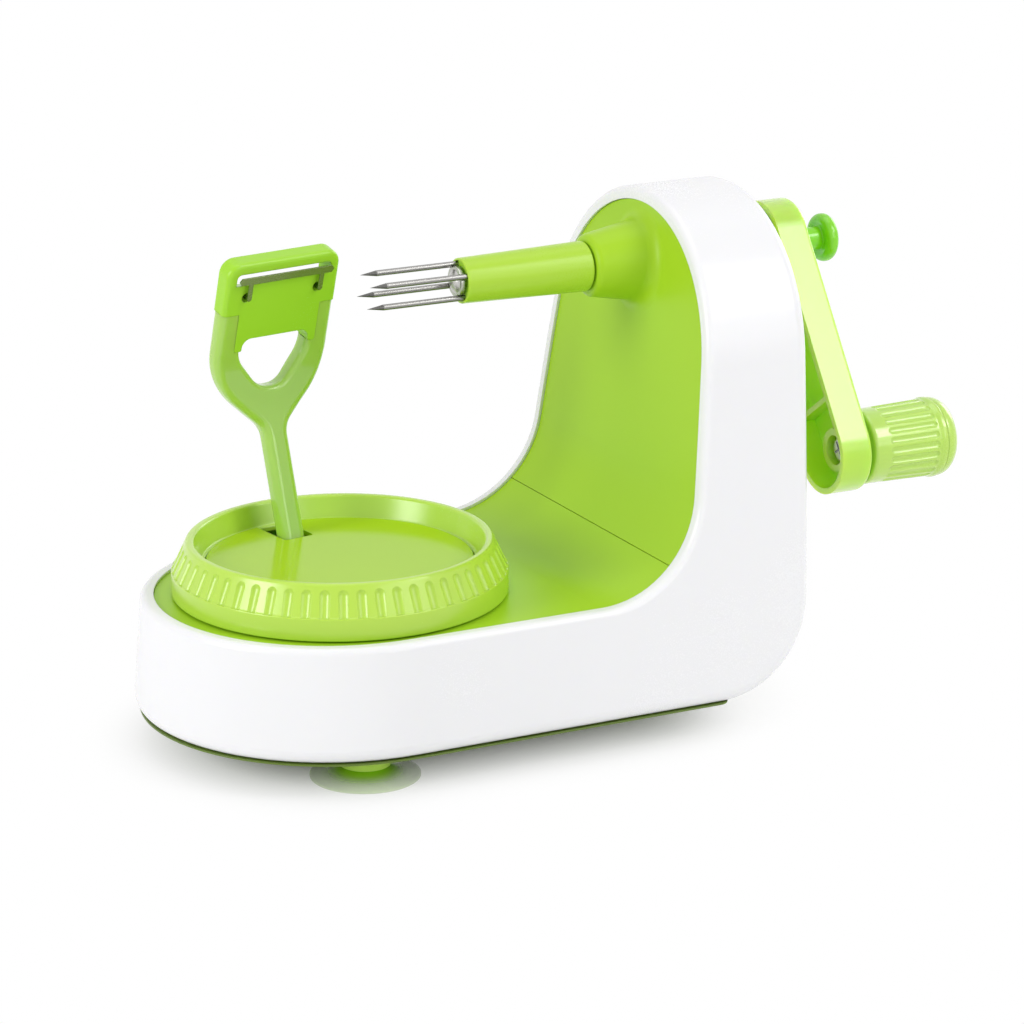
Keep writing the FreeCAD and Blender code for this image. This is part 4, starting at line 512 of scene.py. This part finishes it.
def metal(name, tint, roughness, stretch=ALONG_X, tip_tint=None, tip_x=None):
    """Brushed metal with marks along an axis; another tint before a given X, towards the tips."""
    sizes = bpy.context.scene.peeler_sizes
    material, tree, shader = new_material(name)
    edges = placed_group(
        tree, group("Soft edges", soft_edge_group), radius=sizes.edge / METAL_SHARPER
    )
    surface = placed_group(
        tree, group("Brushed metal", brushed_group),
        colour=(*tint, 1.0), stretch=stretch, mark_width=sizes.brush, roughness=roughness,
    )
    place = object_coordinates(tree)
    tree.links.new(place, surface.inputs["Vector"])
    if tip_tint:
        tree.links.new(two_colours(tree, place, "X", tip_x, tip_tint, tint),
                       surface.inputs["Colour"])
    surface_links(tree, shader, surface, edges)
    shader.inputs["Metallic"].default_value = 1.0
    return material


def clear_vinyl(name, tint, hub_tint_with_painted_light):
    """Soft clear vinyl of the suction cups: clear and pale at the lip, more deeply tinted at the
    hub, where the tint is also brighter, painted light on hubs in the shadow under the housing.
    """
    sizes = bpy.context.scene.peeler_sizes
    material, tree, shader = new_material(name)
    surface = placed_group(
        tree, group("Moulded plastic", moulded_group),
        wave_width=sizes.waviness, grain_width=sizes.grain,
        wave_height=sizes.cup_wave_height, grain_height=sizes.cup_grain_height,
        roughness=0.22, tone_drift=0.05,
    )
    place = object_coordinates(tree)
    tree.links.new(place, surface.inputs["Vector"])
    # Towards the hub the tint grows more saturated, as thick vinyl does, and brighter, painted
    # light on hubs in the shadow under the housing.
    toward_hub = smooth_rise(tree, axes(tree, place)["Z"], TINT_FROM_Z, TINT_TO_Z)
    tree.links.new(blended(tree, toward_hub, tint, hub_tint_with_painted_light), surface.inputs["Colour"])
    clear = math_node(tree, "MULTIPLY_ADD", toward_hub, HUB_ALPHA_GAIN, LIP_ALPHA)
    tree.links.new(clear, shader.inputs["Alpha"])
    surface_links(tree, shader, surface)
    shader.inputs["IOR"].default_value = VINYL_IOR
    return material


def dress(material, *nodes):
    """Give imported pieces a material."""
    for name in nodes:
        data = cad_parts[name].data
        data.materials.clear()
        data.materials.append(material)


# Pieces

class PEELER_OT_housing(bpy.types.Operator):
    """Finish the white shell, the green covers and the plate under them; the plate's green is
    darkened as painted shade, and its necks over the cups are brightened as painted light
    """

    bl_idname = "peeler.housing"
    bl_label = "Housing"

    def execute(self, context):
        colours = context.scene.peeler_colours
        white = plastic("White gloss plastic", colours.shell, roughness=0.26,
                        scatter=0.08, scatter_mm=1.5, drift=0.015)
        cover = plastic("Green cover plastic", colours.panel, roughness=0.36,
                        scatter=0.10, scatter_mm=2.0, gloss=0.22)
        # The plate is darkened as painted shade; below this height, on the necks over the cups, it
        # takes a brighter green, painted light on necks in shade.
        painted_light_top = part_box("housing_shell")[0].z - PAINTED_LIGHT_BELOW_SHELL
        plate_with_painted_shade = plastic("Green plate plastic", colours.plate_with_painted_shade, roughness=0.34,
                        scatter=0.10, scatter_mm=2.0, gloss=0.35,
                        painted_light_tint=colours.neck_with_painted_light, painted_light_below_z=painted_light_top)
        dress(white, "housing_shell")
        dress(cover, "column_cover", "base_cover")
        dress(plate_with_painted_shade, "bottom_plate")
        return {"FINISHED"}


def cup_profile(lip_r, hub_r, stem_r, low, dome, top):
    """Outside and inside of a suction cup as (radius, height), from the stem round the lip."""
    sizes = bpy.context.scene.peeler_sizes
    outside = []
    inside = []
    for step in range(CUP_STEPS + 1):
        along = step / CUP_STEPS
        radius = hub_r + (lip_r - hub_r) * along
        height = sizes.cup_lip + (dome - sizes.cup_lip) * (1.0 - along) ** CUP_CURVE
        outside.append((radius, low + height))
        wall = sizes.cup_wall + (sizes.cup_lip - sizes.cup_wall) * along
        lift = LIP_LIFT if along > LIP_SHARE else 0.0
        inside.append((radius, low + max(height - wall, lift)))
    stem = [
        (0.0, top),
        (stem_r * STEM_TOP_SHARE, top),
        (stem_r, top - STEM_CHAMFER),
        (stem_r, low + dome + STEM_FOOT),
        (stem_r * STEM_FOOT_SHARE, low + dome),
    ]
    crown = [
        (hub_r * CROWN_SHARE, low + dome - CROWN_WALLS * sizes.cup_wall),
        (0.0, low + dome - CROWN_MIDDLE_WALLS * sizes.cup_wall),
    ]
    return stem + outside + list(reversed(inside)) + crown


def lathe_mesh(name, profile):
    """Mesh of a profile turned about Z, closed at both ends by its points on the axis."""
    build = bmesh.new()
    rings = []
    for radius, height in profile:
        if radius == 0.0:
            rings.append([build.verts.new((0, 0, height))])
            continue
        ring = []
        for index in range(CUP_SEGMENTS):
            angle = 2 * pi * index / CUP_SEGMENTS
            ring.append(build.verts.new((radius * cos(angle), radius * sin(angle), height)))
        rings.append(ring)
    for first, second in zip(rings, rings[1:]):
        for index in range(CUP_SEGMENTS):
            after = (index + 1) % CUP_SEGMENTS
            if len(first) == 1:
                build.faces.new((first[0], second[index], second[after]))
            elif len(second) == 1:
                build.faces.new((first[index], second[0], first[after]))
            else:
                build.faces.new((first[index], second[index], second[after], first[after]))
    bmesh.ops.recalc_face_normals(build, faces=build.faces)
    mesh = bpy.data.meshes.new(name)
    build.to_mesh(mesh)
    build.free()
    return mesh


def compared(tree, operation, value, limit):
    """Compare node between a value and a limit; gives its output."""
    node = tree.nodes.new("FunctionNodeCompare")
    node.operation = operation
    node.inputs["B"].default_value = limit
    tree.links.new(value, node.inputs["A"])
    return node.outputs["Result"]


def cup_tree(source, material):
    """Node tree that puts the cup on each point and waves its lip."""
    tree = bpy.data.node_groups.new("Suction cups", "GeometryNodeTree")
    tree.interface.new_socket("Geometry", in_out="INPUT", socket_type="NodeSocketGeometry")
    wave = tree.interface.new_socket("Wave Height", in_out="INPUT", socket_type="NodeSocketFloat")
    tree.interface.new_socket("Geometry", in_out="OUTPUT", socket_type="NodeSocketGeometry")
    given = tree.nodes.new("NodeGroupInput")
    made = tree.nodes.new("NodeGroupOutput")
    cup = tree.nodes.new("GeometryNodeObjectInfo")
    cup.inputs["Object"].default_value = source
    points = tree.nodes.new("GeometryNodeMeshToPoints")
    spread = tree.nodes.new("GeometryNodeInstanceOnPoints")
    real = tree.nodes.new("GeometryNodeRealizeInstances")
    finish = tree.nodes.new("GeometryNodeSetMaterial")
    finish.inputs["Material"].default_value = material
    link = tree.links.new
    link(given.outputs["Geometry"], points.inputs["Mesh"])
    link(points.outputs["Points"], spread.inputs["Points"])
    link(cup.outputs["Geometry"], spread.inputs["Instance"])
    link(spread.outputs["Instances"], real.inputs["Geometry"])
    place = tree.nodes.new("GeometryNodeInputPosition").outputs["Position"]
    ripple = noise(tree, place, WAVE_SCALE, detail=0.0)
    rise = math_node(tree, "MULTIPLY", ripple, given.outputs["Wave Height"])
    offset = tree.nodes.new("ShaderNodeCombineXYZ")
    link(rise, offset.inputs["Z"])
    height = axes(tree, place)["Z"]
    both = tree.nodes.new("FunctionNodeBooleanMath")
    link(compared(tree, "GREATER_THAN", height, WAVE_FROM_Z), both.inputs[0])
    link(compared(tree, "LESS_THAN", height, WAVE_TO_Z), both.inputs[1])
    move = tree.nodes.new("GeometryNodeSetPosition")
    link(real.outputs["Geometry"], move.inputs["Geometry"])
    link(both.outputs["Boolean"], move.inputs["Selection"])
    link(offset.outputs["Vector"], move.inputs["Offset"])
    link(move.outputs["Geometry"], finish.inputs["Geometry"])
    link(finish.outputs["Geometry"], made.inputs["Geometry"])
    return tree, wave.identifier


class PEELER_OT_suction_cups(bpy.types.Operator):
    """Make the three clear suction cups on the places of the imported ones"""

    bl_idname = "peeler.suction_cups"
    bl_label = "Suction cups"

    def execute(self, context):
        scene = context.scene
        middles = []
        for node in CUP_NODES:
            low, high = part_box(node)
            middles.append(((low.x + high.x) / 2, (low.y + high.y) / 2, 0.0))
        low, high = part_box(CUP_NODES[0])
        lip_r = (high.x - low.x) / 2
        profile = cup_profile(
            lip_r, lip_r * CUP_HUB_SHARE, lip_r * CUP_STEM_SHARE, low.z, CUP_DOME, high.z
        )
        source = bpy.data.objects.new("cup_pattern", lathe_mesh("cup_pattern", profile))
        holder = bpy.data.meshes.new("suction_cups")
        holder.from_pydata(middles, [], [])
        piece = bpy.data.objects.new("suction_cups", holder)
        scene.collection.objects.link(source)
        scene.collection.objects.link(piece)
        colours = scene.peeler_colours
        # The hubs' tint is brighter than the lips', painted light on hubs in the shadow under the
        # housing.
        vinyl = clear_vinyl("Clear green vinyl", colours.cup, colours.cup_hub_with_painted_light)
        tree, wave = cup_tree(source, vinyl)
        modifier = piece.modifiers.new("Suction cups", "NODES")
        modifier.node_group = tree
        modifier[wave] = scene.peeler_sizes.cup_wave
        ready = piece.evaluated_get(context.evaluated_depsgraph_get())
        mesh = bpy.data.meshes.new_from_object(ready)
        piece.modifiers.clear()
        piece.data = mesh
        mesh.shade_smooth()
        bpy.data.objects.remove(source)
        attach(piece, "housing")
        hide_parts(*CUP_NODES)
        return {"FINISHED"}


class PEELER_OT_turntable(bpy.types.Operator):
    """Finish the grooved dish and its disc"""

    bl_idname = "peeler.turntable"
    bl_label = "Turntable"

    def execute(self, context):
        colours = context.scene.peeler_colours
        dish = plastic("Green turntable plastic", colours.turntable, roughness=0.26,
                       scatter=0.15, scatter_mm=2.0, coat=0.5, coat_roughness=0.28)
        tray = plastic("Green tray plastic", colours.tray, roughness=0.16,
                       scatter=0.12, scatter_mm=2.0, gloss=0.18)
        dress(dish, "turntable_dish")
        dress(tray, "turntable_disc")
        return {"FINISHED"}


class PEELER_OT_arm(bpy.types.Operator):
    """Finish the milky arm, the green head, the blade with a painted reflection of the head in its
    tint, and the arm's pin and spring
    """

    bl_idname = "peeler.arm"
    bl_label = "Peeler arm"

    def execute(self, context):
        colours = context.scene.peeler_colours
        milky = plastic("Milky green plastic", colours.arm, roughness=0.20,
                        scatter=0.45, scatter_mm=4.0, coat=0.7, coat_roughness=0.05)
        deep = plastic("Deep green plastic", colours.head, roughness=0.26,
                       scatter=0.10, scatter_mm=1.5, gloss=0.4)
        dress(milky, "peeler_arm")
        dress(deep, "peeler_head")
        # Painted reflection: the blade's tint holds the green of the head that it reflects.
        dress(metal("Blade steel", colours.blade, roughness=0.24), "peeling_blade")
        dress(metal("Spring steel", colours.steel, roughness=0.28), "arm_pin", "arm_spring")
        return {"FINISHED"}


class PEELER_OT_fork(bpy.types.Operator):
    """Finish the fork's tube, its pins and the ejector"""

    bl_idname = "peeler.fork"
    bl_label = "Fork and ejector"

    def execute(self, context):
        colours = context.scene.peeler_colours
        tube = plastic("Fork tube plastic", colours.fork, roughness=0.28,
                       scatter=0.10, scatter_mm=1.5, gloss=0.35)
        holder = plastic("Pin holder plastic", colours.head, roughness=0.34,
                         scatter=0.10, scatter_mm=1.5)
        # The pins' steel is darker over a set length from their points.
        tips_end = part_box("fork_pins")[0].x + DARK_TIP_LEN
        pins = metal("Pin steel", colours.steel, roughness=0.30,
                     tip_tint=colours.tips, tip_x=tips_end)
        inner = metal("Ejector steel", colours.steel, roughness=0.20)
        dome = metal("Polished dome steel", colours.dome, roughness=0.30)
        knob = plastic("Knob plastic", colours.knob, roughness=0.18,
                       scatter=0.12, scatter_mm=2.0, coat=0.2)
        dress(tube, "fork_tube")
        dress(holder, "pin_holder")
        dress(pins, "fork_pins")
        dress(inner, "ejector_rod", "ejector_spring")
        dress(dome, "ejector_head")
        dress(knob, "ejector_knob")
        return {"FINISHED"}


class PEELER_OT_crank(bpy.types.Operator):
    """Finish the crank, its grip and its set screw"""

    bl_idname = "peeler.crank"
    bl_label = "Crank and grip"

    def execute(self, context):
        colours = context.scene.peeler_colours
        crank = plastic("Crank plastic", colours.crank, roughness=0.26,
                        scatter=0.80, scatter_mm=7.0, coat=1.0, coat_roughness=0.24)
        grip = plastic("Grip plastic", colours.grip, roughness=0.26,
                       scatter=0.30, scatter_mm=3.0, coat=1.0, coat_roughness=0.12)
        dress(crank, "crank_arm")
        dress(grip, "grip_sleeve", "grip_cap", "grip_core")
        dress(metal("Set screw steel", colours.screws, roughness=0.3), "set_screw")
        return {"FINISHED"}


class PEELER_OT_drive(bpy.types.Operator):
    """Finish the shafts, bushes and gears inside the housing"""

    bl_idname = "peeler.drive"
    bl_label = "Drive"

    def execute(self, context):
        colours = context.scene.peeler_colours
        lying = metal("Shaft steel", colours.steel, roughness=0.26)
        upright = metal("Upright shaft steel", colours.steel, roughness=0.26, stretch=ALONG_Z)
        brass = metal("Turned brass", colours.brass, roughness=0.26)
        gears = plastic("Natural gear plastic", colours.gears, roughness=0.42,
                        scatter=0.25, scatter_mm=2.5)
        dress(lying, "main_shaft", "turntable_pin", "idler_pin", "turntable_washer",
              "idler_retaining_ring")
        dress(upright, "vertical_shaft")
        dress(brass, "worm", "shaft_collar", "front_bush", "rear_bush")
        dress(gears, "turntable_gear", "idler_gear", "worm_wheel", "shaft_pinion",
              "turntable_thrust_washer", "idler_thrust_washer")
        return {"FINISHED"}


class PEELER_OT_screws(bpy.types.Operator):
    """Finish the plated screws"""

    bl_idname = "peeler.screws"
    bl_label = "Screws"

    def execute(self, context):
        colours = context.scene.peeler_colours
        plated = metal("Plated screw steel", colours.screws, roughness=0.22, stretch=EVEN)
        dress(plated, "base_screws", "dish_screws", "turntable_screw", "grip_screw")
        return {"FINISHED"}


# Studio

def white_for_eye(tree):
    """One for rays of the camera, of reflections and of clear pieces."""
    rays = tree.nodes.new("ShaderNodeLightPath")
    seen = math_node(tree, "MAXIMUM", rays.outputs["Is Camera Ray"], rays.outputs["Is Glossy Ray"])
    return math_node(tree, "MAXIMUM", seen, rays.outputs["Is Transmission Ray"])


def white_background(tree, strength):
    """White background of a strength; gives its output."""
    node = tree.nodes.new("ShaderNodeBackground")
    node.inputs["Color"].default_value = (1.0, 1.0, 1.0, 1.0)
    node.inputs["Strength"].default_value = strength
    return node.outputs["Background"]


def make_world(strength):
    """White room: white to the eye, and an even soft light on the object."""
    world = bpy.data.worlds.new("White room")
    world.use_nodes = True
    tree = world.node_tree
    tree.nodes.clear()
    mix = tree.nodes.new("ShaderNodeMixShader")
    output = tree.nodes.new("ShaderNodeOutputWorld")
    tree.links.new(white_for_eye(tree), mix.inputs["Fac"])
    tree.links.new(white_background(tree, strength), mix.inputs[1])
    tree.links.new(white_background(tree, 1.0), mix.inputs[2])
    tree.links.new(mix.outputs["Shader"], output.inputs["Surface"])
    bpy.context.scene.world = world


def make_floor():
    """Pale floor that keeps the shadow near the object and is white further out."""
    low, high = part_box("housing_shell")
    half_width = (high.y - low.y) / 2
    half_length = (high.x - low.x) / 2 - half_width
    middle_x = (high.x + low.x) / 2
    mesh = bpy.data.meshes.new("floor")
    corners = [(x * FLOOR_REACH, y * FLOOR_REACH, 0.0)
               for x, y in ((-1, -1), (1, -1), (1, 1), (-1, 1))]
    mesh.from_pydata(corners, [], [(0, 1, 2, 3)])
    floor = bpy.data.objects.new("floor", mesh)
    bpy.context.scene.collection.objects.link(floor)
    material, tree, shader = new_material("White floor")
    shader.inputs["Base Color"].default_value = (FLOOR_GREY, FLOOR_GREY, FLOOR_GREY, 1.0)
    shader.inputs["Roughness"].default_value = FLOOR_ROUGHNESS
    shader.inputs["Specular IOR Level"].default_value = FLOOR_GLOSS
    place = axes(tree, object_coordinates(tree))
    along = math_node(tree, "ABSOLUTE", math_node(tree, "SUBTRACT", place["X"], middle_x))
    along = math_node(tree, "MAXIMUM", math_node(tree, "SUBTRACT", along, half_length), 0.0)
    beside = tree.nodes.new("ShaderNodeCombineXYZ")
    tree.links.new(along, beside.inputs["X"])
    tree.links.new(place["Y"], beside.inputs["Y"])
    far = tree.nodes.new("ShaderNodeVectorMath")
    far.operation = "LENGTH"
    tree.links.new(beside.outputs["Vector"], far.inputs[0])
    fade = smooth_rise(tree, far.outputs["Value"],
                       half_width - FADE_UNDER_SHELL, half_width + FADE_PAST_SHELL)
    seen = math_node(tree, "MULTIPLY", white_for_eye(tree), fade)
    white = tree.nodes.new("ShaderNodeEmission")
    mix = tree.nodes.new("ShaderNodeMixShader")
    output = next(node for node in tree.nodes if node.type == "OUTPUT_MATERIAL")
    tree.links.new(seen, mix.inputs["Fac"])
    tree.links.new(shader.outputs["BSDF"], mix.inputs[1])
    tree.links.new(white.outputs["Emission"], mix.inputs[2])
    tree.links.new(mix.outputs["Shader"], output.inputs["Surface"])
    mesh.materials.append(material)


def make_lamp(name, place, size, power):
    """Soft rectangular lamp that points at the middle of the peeler."""
    data = bpy.data.lights.new(name, "AREA")
    data.shape = "RECTANGLE"
    data.size, data.size_y = size
    data.energy = power
    lamp = bpy.data.objects.new(name, data)
    lamp.location = place
    way = Vector(LAMP_TARGET) - Vector(place)
    lamp.rotation_euler = way.to_track_quat("-Z", "Y").to_euler()
    bpy.context.scene.collection.objects.link(lamp)


def make_camera(stage):
    """Camera at the photo's angle."""
    back = Vector((
        sin(stage.azimuth) * cos(stage.elevation),
        -cos(stage.azimuth) * cos(stage.elevation),
        sin(stage.elevation),
    ))
    data = bpy.data.cameras.new("camera")
    data.lens = stage.lens
    data.sensor_width = 36.0
    camera = bpy.data.objects.new("camera", data)
    camera.location = Vector((stage.target_x, 0.0, stage.target_z)) + back * stage.distance
    camera.rotation_euler = (-back).to_track_quat("-Z", "Y").to_euler()
    bpy.context.scene.collection.objects.link(camera)
    bpy.context.scene.camera = camera


class PEELER_OT_stage(bpy.types.Operator):
    """Make the camera, the white room, the floor and the soft lamps"""

    bl_idname = "peeler.stage"
    bl_label = "Studio"

    def execute(self, context):
        stage = context.scene.peeler_stage
        context.scene.view_settings.view_transform = "Standard"
        make_camera(stage)
        make_world(stage.sky)
        make_floor()
        for name, place, size in LAMPS:
            make_lamp(name, place, size, getattr(stage, name))
        return {"FINISHED"}


class PEELER_PT_panel(bpy.types.Panel):
    """Settings and steps of the apple peeler"""

    bl_idname = "PEELER_PT_panel"
    bl_label = "Apple peeler"
    bl_space_type = "VIEW_3D"
    bl_region_type = "UI"
    bl_category = "Peeler"

    def draw(self, context):
        for settings in (
            context.scene.peeler_colours,
            context.scene.peeler_sizes,
            context.scene.peeler_stage,
        ):
            box = self.layout.box()
            for name in settings.bl_rna.properties.keys():
                if name not in ("rna_type", "name"):
                    box.prop(settings, name)
        for step in STEPS:
            self.layout.operator(step.bl_idname)


STEPS = (
    PEELER_OT_housing,
    PEELER_OT_suction_cups,
    PEELER_OT_turntable,
    PEELER_OT_arm,
    PEELER_OT_fork,
    PEELER_OT_crank,
    PEELER_OT_drive,
    PEELER_OT_screws,
    PEELER_OT_stage,
)
CLASSES = (PeelerColours, PeelerSizes, PeelerStage, *STEPS, PEELER_PT_panel)


def register():
    """Register the classes and hang the settings on the scene."""
    for item in CLASSES:
        bpy.utils.register_class(item)
    bpy.types.Scene.peeler_colours = bpy.props.PointerProperty(type=PeelerColours)
    bpy.types.Scene.peeler_sizes = bpy.props.PointerProperty(type=PeelerSizes)
    bpy.types.Scene.peeler_stage = bpy.props.PointerProperty(type=PeelerStage)


def unregister():
    """Take the settings and the classes away again."""
    del bpy.types.Scene.peeler_stage
    del bpy.types.Scene.peeler_sizes
    del bpy.types.Scene.peeler_colours
    for item in reversed(CLASSES):
        bpy.utils.unregister_class(item)


def main():
    """Make every piece in order."""
    register()
    bpy.ops.peeler.housing()
    bpy.ops.peeler.suction_cups()
    bpy.ops.peeler.turntable()
    bpy.ops.peeler.arm()
    bpy.ops.peeler.fork()
    bpy.ops.peeler.crank()
    bpy.ops.peeler.drive()
    bpy.ops.peeler.screws()
    bpy.ops.peeler.stage()


if __name__ == "__main__":
    main()
